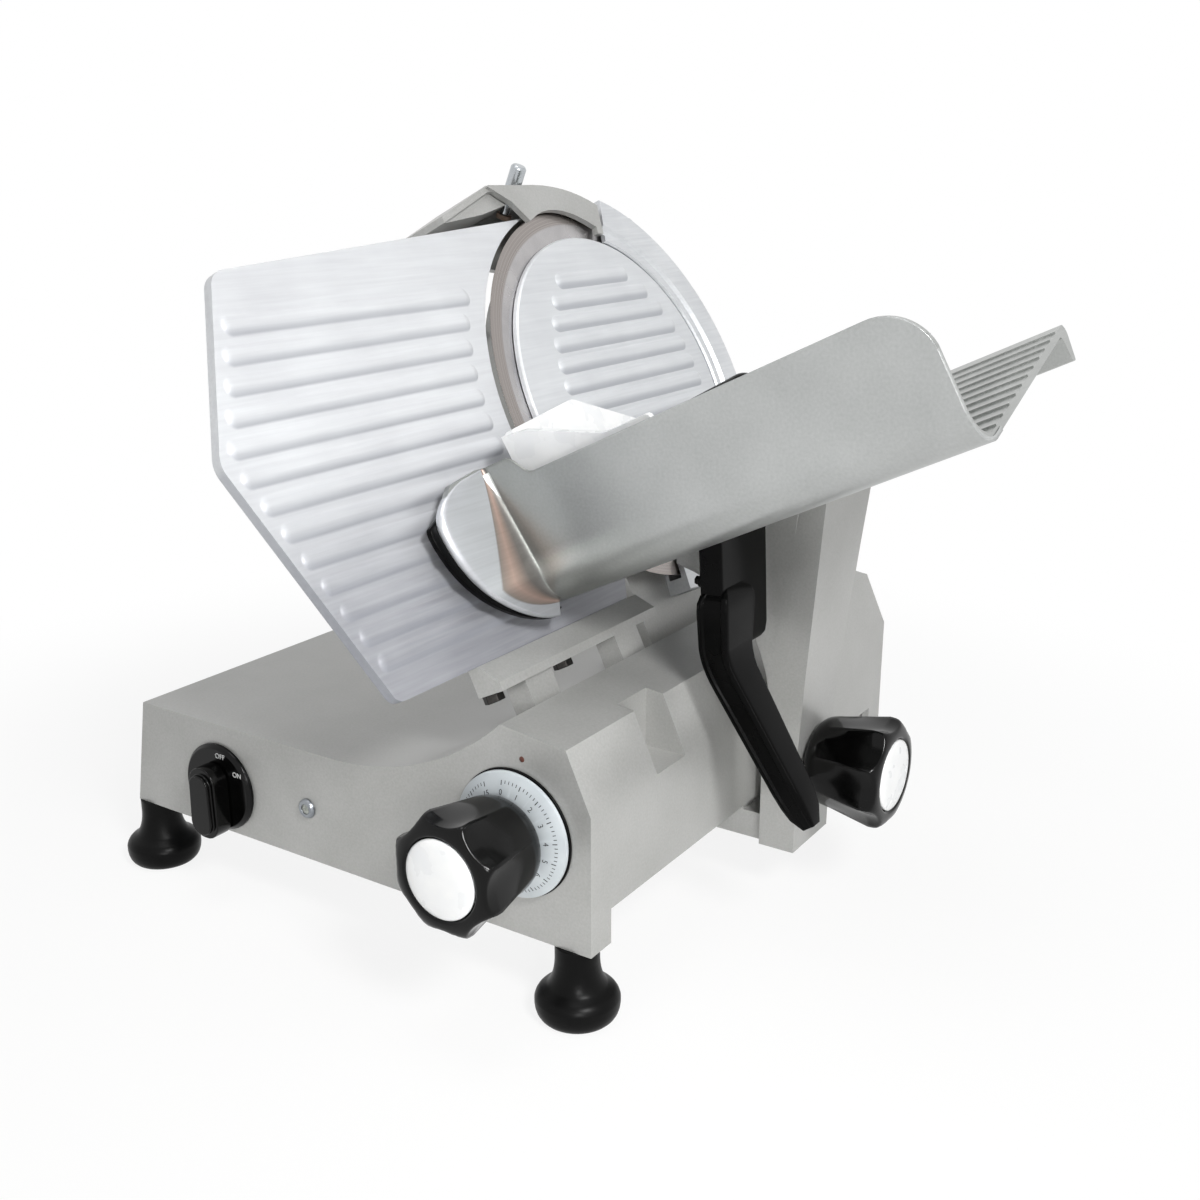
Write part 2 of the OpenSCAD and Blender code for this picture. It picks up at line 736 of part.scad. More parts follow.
bolt_r = 4;
bolt_at = [leg_front - 26, leg_front + 38, leg_rear + 19];
pin_y = scroll_y + 2 + free_gap;

// Holes for the bolts that come up through the carrier's bar
module gauge_bolt_holes() {
    for (y = bolt_at) translate([y, -bar_t - lap, plate_n - plate_th / 2]) rotate([-90, 0, 0])
        cylinder(r = bolt_r / 2 + seat_fit, h = bar_t + 12);
}

// Bar under the gauge plate with two legs that slide on the gauge rods
module gauge_carrier() {
    back = plate_n - plate_th;
    color("gainsboro") difference() {
        union() {
            slope() {
                translate([leg_front - 34, 0, 0]) rotate([90, 0, 90]) linear_extrude(leg_rear - leg_front + 68)
                    polygon([[-bar_t, back], [-bar_t, bar_n], [-bar_t + 5, bar_n], [-seat_fit, 0], [-seat_fit, back]]);
                for (y = [leg_front, leg_rear])
                    translate([y - leg_w / 2, gauge_rod_t - gauge_rod_d / 2 - 5, leg_n0])
                        cube([leg_w, -gauge_rod_t + gauge_rod_d / 2 + 5 - bar_t + lap, leg_n1 - leg_n0]);
                // Foot of the front leg that carries the pin
                translate([leg_front - leg_w / 2, dial_axis_t - 7, dial_axis_n - scroll_r - 7])
                    cube([10, gauge_rod_t - dial_axis_t, 14 + scroll_r]);
            }
            slope() translate([pin_y, dial_axis_t, dial_axis_n - scroll_r]) rotate([0, 90, 0])
                cylinder(r = pin_r, h = leg_front - leg_w / 2 - pin_y + lap);
        }
        slope() for (y = [leg_front, leg_rear]) translate([y, gauge_rod_t, leg_n0 - lap])
            cylinder(r = gauge_rod_d / 2 + run_fit, h = leg_n1 - leg_n0 + 2 * lap);
        slope() gauge_bolt_holes();
    }
}

module gauge_bolts() {
    color("#4a4a48") slope() for (y = bolt_at) translate([y, -bar_t - 5, plate_n - plate_th / 2])
        rotate([-90, 0, 0]) {
            cylinder(r = 6, h = 5, $fn = 6);
            cylinder(r = bolt_r / 2, h = bar_t + 14);
        }
}

neck_w = 124;
seat_at = [for (s = [-1, 1]) s * (neck_w / 2 - 8)];
slab = 13;
seat_n = support_n - (slab + boss_len) / 2;

// Tapped holes in the base for the bolts of the blade support
module support_holes() {
    for (s = seat_at) slope() translate([blade_y + s, -70, seat_n]) rotate([-90, 0, 0])
        cylinder(r = 3 + seat_fit, h = 60);
}

// Thick foot of the blade support
module neck_block() {
    slope() translate([blade_y - neck_w / 2, -60, support_n - boss_len]) cube([neck_w, 70, boss_len]);
}

// Casting that carries the blade's bearings, seated on the base
module blade_support() {
    color("gainsboro") difference() {
        union() {
            on_blade() {
                translate([0, 0, support_n - slab]) cylinder(r = support_r, h = slab);
                translate([0, 0, support_n - boss_len]) cylinder(r = boss_r, h = boss_len);
            }
            slope() {
                translate([blade_y - neck_w / 2, 0, support_n - slab]) cube([neck_w, blade_up, slab]);
            }
            neck_block();
            sharpener_arm();
        }
        base_block();
        on_blade() {
            translate([0, 0, support_n - boss_len - lap]) cylinder(r = shaft_d / 2 + 3, h = boss_len + 2 * lap);
            translate([0, 0, support_n - bearing_w]) cylinder(r = bearing_d / 2 + seat_fit, h = bearing_w + lap);
            translate([0, 0, support_n - boss_len - lap]) cylinder(r = bearing_d / 2 + seat_fit, h = bearing_w + lap);
        }
        for (s = seat_at) slope() translate([blade_y + s, -70, seat_n]) rotate([-90, 0, 0])
            cylinder(r = 3 + seat_fit, h = 90);
    }
}

arm_at = 85;
arm_w = 28;
arm_top = ring_r - 11;

// Arm of the blade support that reaches up to the back wall of the sharpener cap
module sharpener_arm() {
    low = cap_back_n + cap_th;
    on_blade() rotate(arm_at) translate([support_r - 12, -arm_w / 2, low])
        cube([arm_top - support_r + 12, arm_w, support_n - 4 - low]);
}

module support_bolts() {
    color("#4a4a48") for (s = seat_at) slope() translate([blade_y + s, 10, seat_n])
        rotate([90, 0, 0]) {
            translate([0, 0, -6]) cylinder(r = 5, h = 6);
            cylinder(r = 3, h = 74);
        }
}

ring_back_n = support_n;
ring_back_th = 2.6;
ring_front_n = 1.2;

// Channel that wraps the blade's edge away from the cut, with a raised outer band
module ring_guard() {
    inner = blade_r + rim_gap;
    lip_r = cover_d / 2 + free_gap;
    band_n = ring_front_n + 4.4;
    groove_n = ring_front_n + 1.6;
    color("whitesmoke") on_blade() difference() {
        intersection() {
            rotate_extrude($fn = 180) polygon([
                [support_r - 8, ring_back_n], [ring_r, ring_back_n], [ring_r, band_n - 0.8], [ring_r - 1.2, band_n],
                [lip_r + 12, band_n - 0.6], [lip_r + 9.5, groove_n], [lip_r + 6, groove_n], [lip_r + 4.5, band_n - 1],
                [lip_r + 1, band_n - 1], [lip_r, ring_front_n + 2], [lip_r, ring_front_n], [inner, ring_front_n],
                [inner, ring_back_n + ring_back_th], [support_r - 8, ring_back_n + ring_back_th]]);
            translate([0, 0, ring_back_n - lap]) pie(ring_r, ring_from, ring_to, 40);
        }
        for (a = pin_at) rotate(a) translate([ring_r - 5, 0, -3]) rotate([0, 90, 0])
            cylinder(r = pin_stem_r + seat_fit, h = 12);
    }
}

pin_at = [54, -1];
pin_stem_r = 3;

// Locating pins on the rim of the ring guard
module guard_pins() {
    color("silver") on_blade() for (a = pin_at) rotate(a) translate([ring_r - 5, 0, -3]) rotate([0, 90, 0])
        rotate_extrude() polygon([[0, 0], [pin_stem_r, 0], [pin_stem_r, 8], [pin_stem_r + 1.2, 8],
            [pin_stem_r + 1.2, 10], [2, 13], [0, 13]]);
}

module bearing() {
    ring(bearing_d / 2, shaft_d / 2 + run_fit, bearing_w);
}

module bearing_front() {
    color("silver") on_blade() translate([0, 0, support_n - bearing_w]) bearing();
}

module bearing_rear() {
    color("silver") on_blade() translate([0, 0, support_n - boss_len]) bearing();
}

bevel_in = 9;
hollow_in = 21;
blade_front = flange_n + blade_th;

// Height of the blade's face at a radius
function blade_face(r) = blade_front + (edge_n - blade_front) * max(0, r - blade_r + hollow_in) / (hollow_in - bevel_in);

// Hollow-ground disc with its edge on the cutting plane
module blade() {
    back = flange_n;
    color("lightgray") on_blade() difference() {
        rotate_extrude($fn = 180) polygon([[blade_bore_r, back], [blade_r - 14, back],
            [blade_r - bevel_in, back + 0.6], [blade_r, edge_n - 0.3], [blade_r, edge_n],
            [blade_r - bevel_in, edge_n], [blade_r - hollow_in, blade_front], [blade_bore_r, blade_front]]);
        for (a = [0 : 120 : 240]) rotate(a) translate([27, 0, back - lap]) cylinder(r = 2.5 + seat_fit, h = blade_th + 2 * lap);
    }
}

// Flanged hollow shaft that carries the blade and the large pulley
module blade_hub() {
    end_n = pulley_n - 2;
    color("silver") on_blade() difference() {
        union() {
            translate([0, 0, flange_n - flange_th]) cylinder(r = hub_r, h = flange_th);
            translate([0, 0, end_n]) cylinder(r = shaft_d / 2, h = flange_n - end_n);
            translate([0, 0, flange_n - lap]) cylinder(r = blade_bore_r - seat_fit, h = blade_th + lap);
        }
        translate([0, 0, end_n - lap]) cylinder(r = tie_rod_r + 1, h = -end_n + 4);
        for (a = [0 : 120 : 240]) rotate(a) translate([27, 0, flange_n - flange_th - lap])
            cylinder(r = 2.5 + seat_fit, h = flange_th + 2 * lap);
    }
}

module blade_screws() {
    color("silver") on_blade() for (a = [0 : 120 : 240]) rotate(a) translate([27, 0, flange_n - flange_th]) {
        cylinder(r = 2.5, h = flange_th + blade_th);
        translate([0, 0, flange_th + blade_th]) cylinder(r1 = 4.6, r2 = 3.6, h = 1.2);
    }
}

module blade_pulley() {
    color("silver") on_blade() translate([0, 0, pulley_n]) difference() {
        union() {
            cylinder(r = big_pulley_d / 2, h = belt_w);
            translate([0, 0, -1]) cylinder(r = 20, h = belt_w + 4);
        }
        translate([0, 0, -lap - 1]) cylinder(r = shaft_d / 2 + seat_fit, h = belt_w + 8);
        for (a = [0 : 72 : 288]) rotate(a) translate([27, 0, -lap]) cylinder(r = 5, h = belt_w + 2 * lap);
    }
}

belt_gap = 0.35;
belt_steps = 36;

// Points round both pulleys, grown by a margin
function belt_loop(grow) =
    let (big = big_pulley_d / 2 + grow,
        small = small_pulley_d / 2 + grow,
        span = blade_up + motor_down,
        lean = asin((big - small) / span),
        wrap = 180 + 2 * lean,
        slack = 180 - 2 * lean)
    concat([for (i = [0 : belt_steps]) let (a = -lean + wrap * i / belt_steps) big * [cos(a), sin(a)]],
        [for (i = [0 : belt_steps / 2]) let (a = 180 + lean + slack * i / (belt_steps / 2))
            [0, -span] + small * [cos(a), sin(a)]]);

module drive_belt() {
    color("#202022") on_blade() translate([0, 0, pulley_n + 0.5]) linear_extrude(belt_w - 1) difference() {
        polygon(belt_loop(belt_gap + belt_th));
        polygon(belt_loop(belt_gap));
    }
}

cover_wall = 3;
belt_cover_r = big_pulley_d / 2 + 10;

// Outline of the belt cover on the blade support
module belt_cover_shape(r) {
    circle(r = r);
    translate([-r, -blade_up - 45]) square([2 * r, blade_up + 45]);
}

// Shell over the belt on the slice side of the blade support
module belt_cover() {
    top_n = support_n - slab;
    low_n = pulley_n - 14;
    color("gainsboro") difference() {
        on_blade() translate([0, 0, low_n]) linear_extrude(top_n - low_n) belt_cover_shape(belt_cover_r);
        on_blade() translate([0, 0, low_n + cover_wall]) linear_extrude(top_n - low_n)
            belt_cover_shape(belt_cover_r - cover_wall);
        base_block();
        neck_block();
        on_blade() translate([0, 0, low_n - lap]) cylinder(r = tie_rod_r + 0.4, h = cover_wall + 2 * lap);
    }
}

function motor_n0() = pulley_n + belt_w + 6;
motor_n1 = motor_n0() + motor_len;
saddle_n = motor_n0() + 24;
saddle_th = 22;
saddle_half = motor_d / 2 + 14;

// Motor can with its end bells, lying under the ridge
module motor() {
    color("#6d7072") slope() translate([blade_y, -motor_down, motor_n0()]) difference() {
        union() {
            cylinder(r = motor_d / 2 - 3, h = motor_len);
            translate([0, 0, 10]) cylinder(r = motor_d / 2, h = motor_len - 20);
        }
        translate([0, 0, -lap]) cylinder(r = 4 + run_fit, h = 24);
    }
}

// Saddle that hangs the motor from the roof of the base
module motor_saddle() {
    color("silver") difference() {
        intersection() {
            slope() translate([blade_y - saddle_half, -motor_down, saddle_n])
                cube([2 * saddle_half, 90, saddle_th]);
            along_depth(wall, base_d - 2 * wall) base_section(wall);
        }
        slope() translate([blade_y, -motor_down, saddle_n - lap]) {
            cylinder(r = motor_d / 2 + seat_fit, h = saddle_th + 2 * lap);
        }
        belt_slot();
    }
}

module motor_shaft() {
    color("silver") slope() translate([blade_y, -motor_down, pulley_n - 2]) cylinder(r = 4, h = belt_w + 28);
}

module motor_pulley() {
    color("silver") slope() translate([blade_y, -motor_down, pulley_n]) difference() {
        cylinder(r = small_pulley_d / 2, h = belt_w);
        translate([0, 0, -lap]) cylinder(r = 4 + seat_fit, h = belt_w + 2 * lap);
    }
}

cover_ribs = 9;
cover_rib_pitch = 13.4;
cover_rib_w = 10.5;
first_cover_rib = 77;
skirt_w = 7;

// Pressed plate that closes the face of the blade, with a skirt that comes down close to it
module blade_cover() {
    r = cover_d / 2;
    skirt_n = blade_face(r) + free_gap;
    color("white") on_blade() difference() {
        union() {
            rotate_extrude($fn = 180) polygon([[0, cover_n], [r - skirt_w - 1, cover_n], [r - skirt_w, skirt_n],
                [r, skirt_n], [r, cover_n + cover_th / 2], [r - 1, cover_n + cover_th], [0, cover_n + cover_th]]);
            intersection() {
                for (i = [0 : cover_ribs - 1]) {
                    t = first_cover_rib - i * cover_rib_pitch;
                    translate([0, 0, cover_n + cover_th + rib_h])
                        rib(36 - sqrt(r * r - t * t), sqrt(pow(r - 14, 2) - t * t) - 2, t, cover_rib_w);
                }
                translate([-r, -r, cover_n + cover_th / 2]) cube([2 * r, 2 * r, cover_th / 2 + rib_h]);
            }
        }
        translate([0, 0, cover_n - lap]) cylinder(r = tie_rod_r + seat_fit, h = cover_th / 2 + lap);
    }
}

tie_end_n = pulley_n - 14 - 22;

module cover_tie_rod() {
    color("silver") on_blade() translate([0, 0, tie_end_n]) cylinder(r = tie_rod_r, h = cover_n + cover_th / 2 - tie_end_n - seat_fit);
}

// Small knob behind the belt cover that draws the tie rod tight
module cover_knob() {
    color("#141415") on_blade() translate([0, 0, pulley_n - 14 - free_gap]) mirror([0, 0, 1]) difference() {
        union() {
            cylinder(r = 14, h = 6);
            translate([0, 0, 5]) cylinder(r = 19, h = 20);
        }
        for (i = [0 : 5]) rotate(i * 60) translate([22.5, 0, 4]) cylinder(r = 6, h = 24);
        translate([0, 0, -lap]) cylinder(r = tie_rod_r + run_fit, h = 23 + lap);
    }
}

deflector_th = 1.5;

// Curved sheet behind the blade that throws the slices off to the left
module slice_deflector() {
    back = support_n - slab;
    line = concat([[-92, back]], curve([-80, back], [-68, back - 1], [-60, back - 18], 6));
    last = len(line) - 1;
    color("lightgray") on_blade() translate([0, 62, 0]) rotate([90, 0, 0]) linear_extrude(128)
        polygon(concat(line, [for (i = [last : -1 : 0]) line[i] - deflector_th * [i / last, 1 - 0.6 * i / last]]));
}

cap_th = 4;
cap_front_n = 6;
cap_back_n = -40;
cap_end = [0.3, 0.954] * (blade_r + rim_gap + 4);
cap_top = ring_r + 4;

// Top line of the sharpener cap about the blade's centre, lowered by a margin
function cap_roof(down) = concat(
    curve(cap_end - [0, down], [10, cap_top + 1 - down], [-35, cap_top - down], 8),
    [[-70, cap_top + 0.5 - down], [-122, cap_top - 17.5 - down]]);

// Outline of the cap's front face, with an arch and a pointed tip over the blade's edge
cap_face = concat(cap_roof(0.5), [[-71, cap_top - 1]],
    [[-53, cap_top - 11], [-41, cap_top - 24]],
    curve([-31, cap_top - 20], [-4, cap_top - 12], [29, cap_top - 31], 8), [[27.5, cap_top - 35.5], [34, cap_top - 36]]);

// Arched cap over the top of the blade that holds the sharpener
module sharpener_cap() {
    face = [for (p = cap_face) if (p[0] > -72) p];
    roof = cap_roof(0);
    under = cap_roof(cap_th);
    last = len(roof) - 1;
    color("gainsboro") on_blade() difference() {
        union() {
            // Roof from the front face to the back
            translate([0, 0, cap_back_n]) linear_extrude(cap_front_n - 2 - cap_back_n)
                polygon(concat(roof, [for (i = [last : -1 : 0]) under[i]]));
            translate([0, 0, cap_front_n - cap_th]) linear_extrude(cap_th) polygon(face);
            // Sloping wing above the gauge plate
            translate([0, 0, cap_back_n]) linear_extrude(cap_front_n - 5 - cap_back_n)
                polygon([[-71, cap_top], [-53, cap_top - 11], [-80, cap_top - 16.5], [-122, cap_top - 21], [-122, cap_top - 18]]);
            // Back wall that the support's arm is fixed to
            translate([0, 0, cap_back_n]) linear_extrude(cap_th)
                polygon(concat(roof, [[-120, cap_top - 24], [-30, cap_top - 40], [cap_end[0] - 2, cap_top - 38]]));
            on_button_local() translate([0, 0, -6]) cylinder(r = button_r + 3, h = 7);
        }
        on_button_local() translate([0, 0, -30]) cylinder(r = button_r + run_fit, h = 60);
    }
}

button_r = 5;
button_lean = 41;
stone_r = 5;
stone_th = 3;
stone_at = -17.5;

// Places its children on the button's axis, about the blade's centre
module on_button_local() {
    translate([-35, cap_top - 0.5, -4]) rotate([-button_lean, 0, 0]) children();
}

// Places its children on the axis of the sharpener button
module on_button() {
    on_blade() on_button_local() children();
}

// Push button with the collar that the stone hangs on
module hone_button() {
    color("silver") on_button() rotate_extrude() polygon([[0, stone_at - 0.5], [button_r - 2, stone_at - 0.5], [button_r - 2, -9],
        [button_r, -9], [button_r, 16], [button_r - 1.2, 17.5], [0, 17.5]]);
}

module hone_stone() {
    color("#7d6a5c") on_button() translate([0, 0, stone_at]) difference() {
        cylinder(r = stone_r, h = stone_th);
        translate([0, 0, -lap]) cylinder(r = button_r - 2 + run_fit, h = stone_th + 2 * lap);
    }
}

wall_dir = [-sin(tray_lean), cos(tray_lean)];
floor_dir = [cos(tray_rise), sin(tray_rise)];
floor_up = [-sin(tray_rise), cos(tray_rise)];
tray_corner = [tray_y, tray_up];
bend_r = 17;
lip_h = 15;
floor_ribs = 11;

// Section of the tray in y and t: wall, bend, ribbed floor and down-turned lip
module tray_section() {
    skew = tray_th / sin(90 + tray_lean - tray_rise);
    out = tray_corner - skew * (wall_dir + floor_dir);
    far = tray_corner + tray_d * floor_dir;
    under = far - tray_th * floor_up;
    polygon(rounded([
        tray_corner + tray_wall_h * wall_dir,
        out + (tray_wall_h + skew) * wall_dir,
        out,
        under - 8 * floor_dir,
        under - 8 * floor_dir - lip_h * floor_up,
        under - 3 * floor_dir - (lip_h + 2) * floor_up,
        far + 4 * floor_dir - 4 * floor_up,
        far,
        tray_corner],
        [1.5, 1.5, bend_r + tray_th, 4, 2, 2, 6, 4, bend_r]));
    for (i = [0 : floor_ribs - 1]) {
        foot = tray_corner + (24 + i * (tray_d - 40) / (floor_ribs - 1)) * floor_dir;
        polygon([foot - floor_up, foot + 2.4 * floor_dir - floor_up, foot + 1.9 * floor_dir + floor_up,
            foot + 0.5 * floor_dir + floor_up]);
    }
}

corner_r = 26;
rod_n0 = tray_gap + 1;
rod_len = 190;
lobe_top = tray_up + tray_wall_h * cos(tray_lean) + 12;
lobe_out = [tray_y - 53, lobe_top - 11];

// Outline of the guard flange at the blade end of the wall
function lobe_curve(shift) = curve(tray_corner + [-5, -3] + shift, tray_corner + [-40, 19] + shift, lobe_out + shift);

// Cast tray: V-shaped trough with a finger guard flange at the blade end
module tray() {
    color("gainsboro") slope() difference() {
        union() {
            translate([0, 0, tray_gap]) linear_extrude(tray_len) tray_section();
            // Guard flange with a fillet to the wall
            translate([0, 0, lobe_n]) linear_extrude(tray_th) polygon(concat(lobe_curve([0, 0]),
                [[tray_y - 45, lobe_top - 4], [tray_y - 22, lobe_top], [tray_y - 12, lobe_top],
                    tray_corner + [-tray_th, 12]]));
            lobe_fillet();
        }
        // Rounded upper corner at the loading end
        translate([tray_y - 60, tray_up, tray_n1]) rotate([0, 90, 0]) translate([0, tray_wall_h * cos(tray_lean) - corner_r, 0])
            linear_extrude(72) difference() {
                translate([-lap, 0]) square([corner_r + lap, corner_r + 20]);
                translate([corner_r - ear_in, -ear_in]) circle(r = corner_r);
            }
    }
}

fillet_r = 7;
fillet_up = 20;
ear_h = 12;
ear_in = 0.3;

// Places its children against the inner face of the tray wall: X is inwards, Y up the wall
module on_wall() {
    translate([tray_corner[0], tray_corner[1], 0]) rotate([0, 0, tray_lean]) children();
}

// Fillet between the guard flange and the outer face of the wall, with an ear on top
module lobe_fillet() {
    on_wall() {
        translate([-tray_th + 0.5, fillet_up, lobe_n + tray_th - 0.5]) rotate([-90, 0, 0])
            linear_extrude(tray_wall_h + ear_h - fillet_up - 3) difference() {
                translate([-fillet_r, -fillet_r]) square([fillet_r, fillet_r]);
                translate([-fillet_r, -fillet_r]) circle(r = fillet_r);
            }
        translate([-tray_th + ear_in, 0, lobe_n + ear_in]) rotate([90, 0, 90])
            linear_extrude(tray_th - 2 * ear_in) polygon(concat(
                [[tray_wall_h - 6, 0], [tray_wall_h + ear_h, 0]],
                curve([tray_wall_h + ear_h, 7], [tray_wall_h - 2, 10], [tray_wall_h - 2, 24], 8),
                [[tray_wall_h - 6, 24]]));
    }
}

// Two lugs on the far lip of the tray that hold the ends of the pusher's rod
module pusher_brackets() {
    color("gainsboro") slope() for (n = [rod_n0, rod_n0 + rod_len - lug_th]) difference() {
        translate([pusher_y, pusher_t, n]) {
            cylinder(r = pusher_rod_d / 2 + 4.5, h = lug_th);
            translate([-13, -5, 0]) cube([13, 10, lug_th]);
        }
        translate([0, 0, n - lap]) linear_extrude(lug_th + 2 * lap) tray_section();
        translate([pusher_y, pusher_t, n - lap]) cylinder(r = pusher_rod_d / 2 + seat_fit, h = lug_th + 2 * lap);
    }
}

// Edge strip between the guard flange and the gauge plate
module tray_guard() {
    inner = lobe_curve([12, 6]);
    color("#1b1b1c") slope() translate([0, 0, tray_gap]) linear_extrude(lobe_n - tray_gap - seat_fit) difference() {
        polygon(concat(lobe_curve([-guard_over, -guard_over / 2]),
            [lobe_out + [-2, 6], lobe_out + [10, 8]], [for (i = [10 : -1 : 0]) inner[i]]));
        tray_section();
        polygon([tray_corner - [0.5, 5], tray_corner + [-10, 80], tray_corner + [60, 80], tray_corner + [60, 0]]);
    }
}

// Half space above the underside of the tray floor, for pieces that hang from it
module above_tray() {
    reach = 700;
    slope() translate([tray_corner[0], tray_corner[1], -reach / 2]) rotate([0, 0, tray_rise])
        translate([-reach / 2, -tray_th - seat_fit, 0]) cube([reach, reach, reach]);
    // Room for the lip at the far edge
    slope() translate([tray_corner[0], tray_corner[1], -reach / 2]) rotate([0, 0, tray_rise])
        translate([tray_d - 14, -tray_th - lip_h - 12, 0]) cube([reach, reach, reach]);
}

// Column with its foot, arm and slide sleeve
module carriage_arm() {
    x0 = column_x;
    x1 = column_x + column_th;
    color("gainsboro") difference() {
        union() {
            intersection() {
                translate([0, column_y + 120, 0]) rotate([90, 0, 0]) linear_extrude(160) polygon(concat(
                    [[x0, column_z], [x1, column_z]], curve([x1, column_z + 60], [x1 + 3, 165], [x1 + 17, 330]),
                    curve([x0 + 34, 330], [x0 + 3, 175], [x0, 110])));
                translate([x0 - 60, 0, 0]) rotate([90, 0, 90]) linear_extrude(160) polygon(concat(
                    [[column_y, column_z], [column_y + column_d, column_z]],
                    curve([column_y + column_d, 110], [column_y + column_d + 4, 170], [column_y + column_d + 26, 330]),
                    [[column_y, 330]]));
            }
            translate([guide_x - guide_rod_d / 2 - 4, column_y + 4, column_z + 1])
                cube([x0 - guide_x + guide_rod_d / 2 + 4 + lap, column_d - 8, arm_h]);
            translate([slide_x - sleeve_r, column_mid - column_d / 2 + 4, column_z + 1])
                cube([2 * sleeve_r, column_d - 8, slide_rod_h - column_z]);
            rod_y([slide_x, column_mid - sleeve_len / 2, slide_rod_h], sleeve_r, sleeve_len);
            rod_y([guide_x, column_y + 4, guide_z], guide_rod_d / 2 + 4, column_d - 8);
        }
        above_tray();
        rod_y([slide_x, column_mid - sleeve_len / 2 - lap, slide_rod_h], bush_r + seat_fit, sleeve_len + 2 * lap);
        rod_y([guide_x, column_y, guide_z], guide_rod_d / 2 + run_fit, column_d + 2 * lap);
        translate([x1 - 18, column_mid, knob_z]) rotate([0, 90, 0]) cylinder(r = lock_stem_r + run_fit, h = 40);
        // Clearance under the sill
        translate([slide_x + sleeve_r, column_y - 20, column_z + arm_h + 1])
            cube([x0 - slide_x - sleeve_r, column_d + 60, ridge_h]);
    }
}

// Plain bushes pressed into the ends of the sleeve
module slide_bushes() {
    bush_len = 18;
    color("peru") for (y = [column_mid - sleeve_len / 2, column_mid + sleeve_len / 2 - bush_len])
        translate([slide_x, y, slide_rod_h]) rotate([-90, 0, 0]) ring(bush_r, slide_rod_d / 2 + run_fit, bush_len);
}

handle_y = tray_y + 28;
handle_n = 92;
fin_d = 15;

// Moulded paddle below the tray, bent towards the operator's hand
module carriage_handle() {
    x = cut_x + handle_n * cos(tilt) - tray_up * sin(tilt);
    z = cut_z + handle_n * sin(tilt) + tray_up * cos(tilt);
    top_x = x - 2 + handle_th + 5;
    outline = rounded([[x - 2, z + 30], [x + 8, z - 62], [x + 63, z - 140], [x + 70, z - 144],
        [x + 63 + handle_th, z - 134], [x + 10 + handle_th, z - 56], [top_x, z + 30]], [0, 26, 5, 3, 6, 30, 0]);
    fin = rounded([[x + 1, z + 30], [x + 9, z - 52], [x + 7 + handle_th, z - 52], [top_x - 2, z + 30]], [0, 4, 4, 0]);
    color("#1b1b1c") difference() {
        union() {
            translate([0, handle_y + handle_w, 0]) rotate([90, 0, 0]) linear_extrude(handle_w) polygon(outline);
            // Thicker root behind the upper part
            translate([0, handle_y + handle_w + fin_d, 0]) rotate([90, 0, 0]) linear_extrude(fin_d + lap) polygon(fin);
        }
        above_tray();
    }
}

module lock_knob() {
    color("#141415") translate([column_x + column_th + 3, column_mid, knob_z]) rotate([0, 90, 0]) {
        knob(0, 0);
        translate([0, 0, -19]) cylinder(r = lock_stem_r, h = 20);
    }
}

module lock_cap() {
    color("white") translate([column_x + column_th + 3, column_mid, knob_z]) rotate([0, 90, 0]) knob_cap();
}

module pusher_rod() {
    color("silver") slope() translate([pusher_y, pusher_t, rod_n0]) cylinder(r = pusher_rod_d / 2, h = rod_len);
}

sleeve_wall = 3;
pusher_sleeve_len = 34;
pusher_sleeve_r = pusher_rod_d / 2 + sleeve_wall;
pusher_n0 = pusher_n + 6;
pusher_th = 5;

// Flanged tube that slides on the rod and that the pusher turns on
module pusher_sleeve() {
    color("silver") slope() translate([pusher_y, pusher_t, pusher_n0]) {
        ring(pusher_sleeve_r, pusher_rod_d / 2 + run_fit, pusher_sleeve_len);
        ring(pusher_sleeve_r + 2, pusher_rod_d / 2 + run_fit, 2.5);
        translate([0, 0, pusher_sleeve_len - 2.5]) ring(pusher_sleeve_r + 2, pusher_rod_d / 2 + run_fit, 2.5);
    }
}

pusher_top = tray_wall_h + 24;
pusher_side = 9;

// A point beside the inner face of the tray wall, in y and t
function by_wall(x, h) = tray_corner + h * wall_dir + x * [cos(tray_lean), sin(tray_lean)];

hub_step = 0.6;

// Food pusher: an end plate across the trough and a side plate along the wall
module pusher_plate() {
    hub_len = pusher_sleeve_len - 5 - 2 * free_gap;
    far = tray_corner + (tray_d - 14) * floor_dir + 5 * floor_up;
    hinge = [pusher_y, pusher_t];
    bridge = hinge + [6, pusher_sleeve_r + 24];
    color("white") slope() difference() {
        union() {
            translate([0, 0, pusher_n0 + 2.5 + free_gap]) {
                translate([0, 0, hub_step]) linear_extrude(pusher_th) polygon(rounded([by_wall(pusher_side + 3, 14),
                    tray_corner + 24 * floor_dir + 5 * floor_up, far, far + [4, 26], hinge + [-6, 4], hinge + [8, 4],
                    bridge, far + [-34, 44], by_wall(80, pusher_top), by_wall(pusher_side + 3, pusher_top)],
                    [2, 8, 3, 4, 0, 0, 5, 20, 12, 6]));
                translate(hinge) cylinder(r = pusher_sleeve_r + 3.5, h = hub_len);
            }
            on_wall() pusher_side_plate();
        }
        translate([pusher_y, pusher_t, pusher_n0]) cylinder(r = pusher_sleeve_r + run_fit, h = pusher_sleeve_len);
    }
}

side_len = 92;

// Side plate that stands along the inner face of the tray wall
module pusher_side_plate() {
    translate([pusher_side + 1, 0, pusher_n0 + 2.5 + free_gap + 2 * hub_step]) rotate([90, 0, 90]) linear_extrude(4)
        polygon(rounded([[14, 0], [pusher_top - 1, 0], [pusher_top - 3, 16], [tray_wall_h + 2, 62],
            [tray_wall_h + 2, side_len], [44, side_len]], [0, 0, 8, 20, 3, 12]));
}

grip_r = 9;
grip_len = 84;
grip_tilt = 3.5;

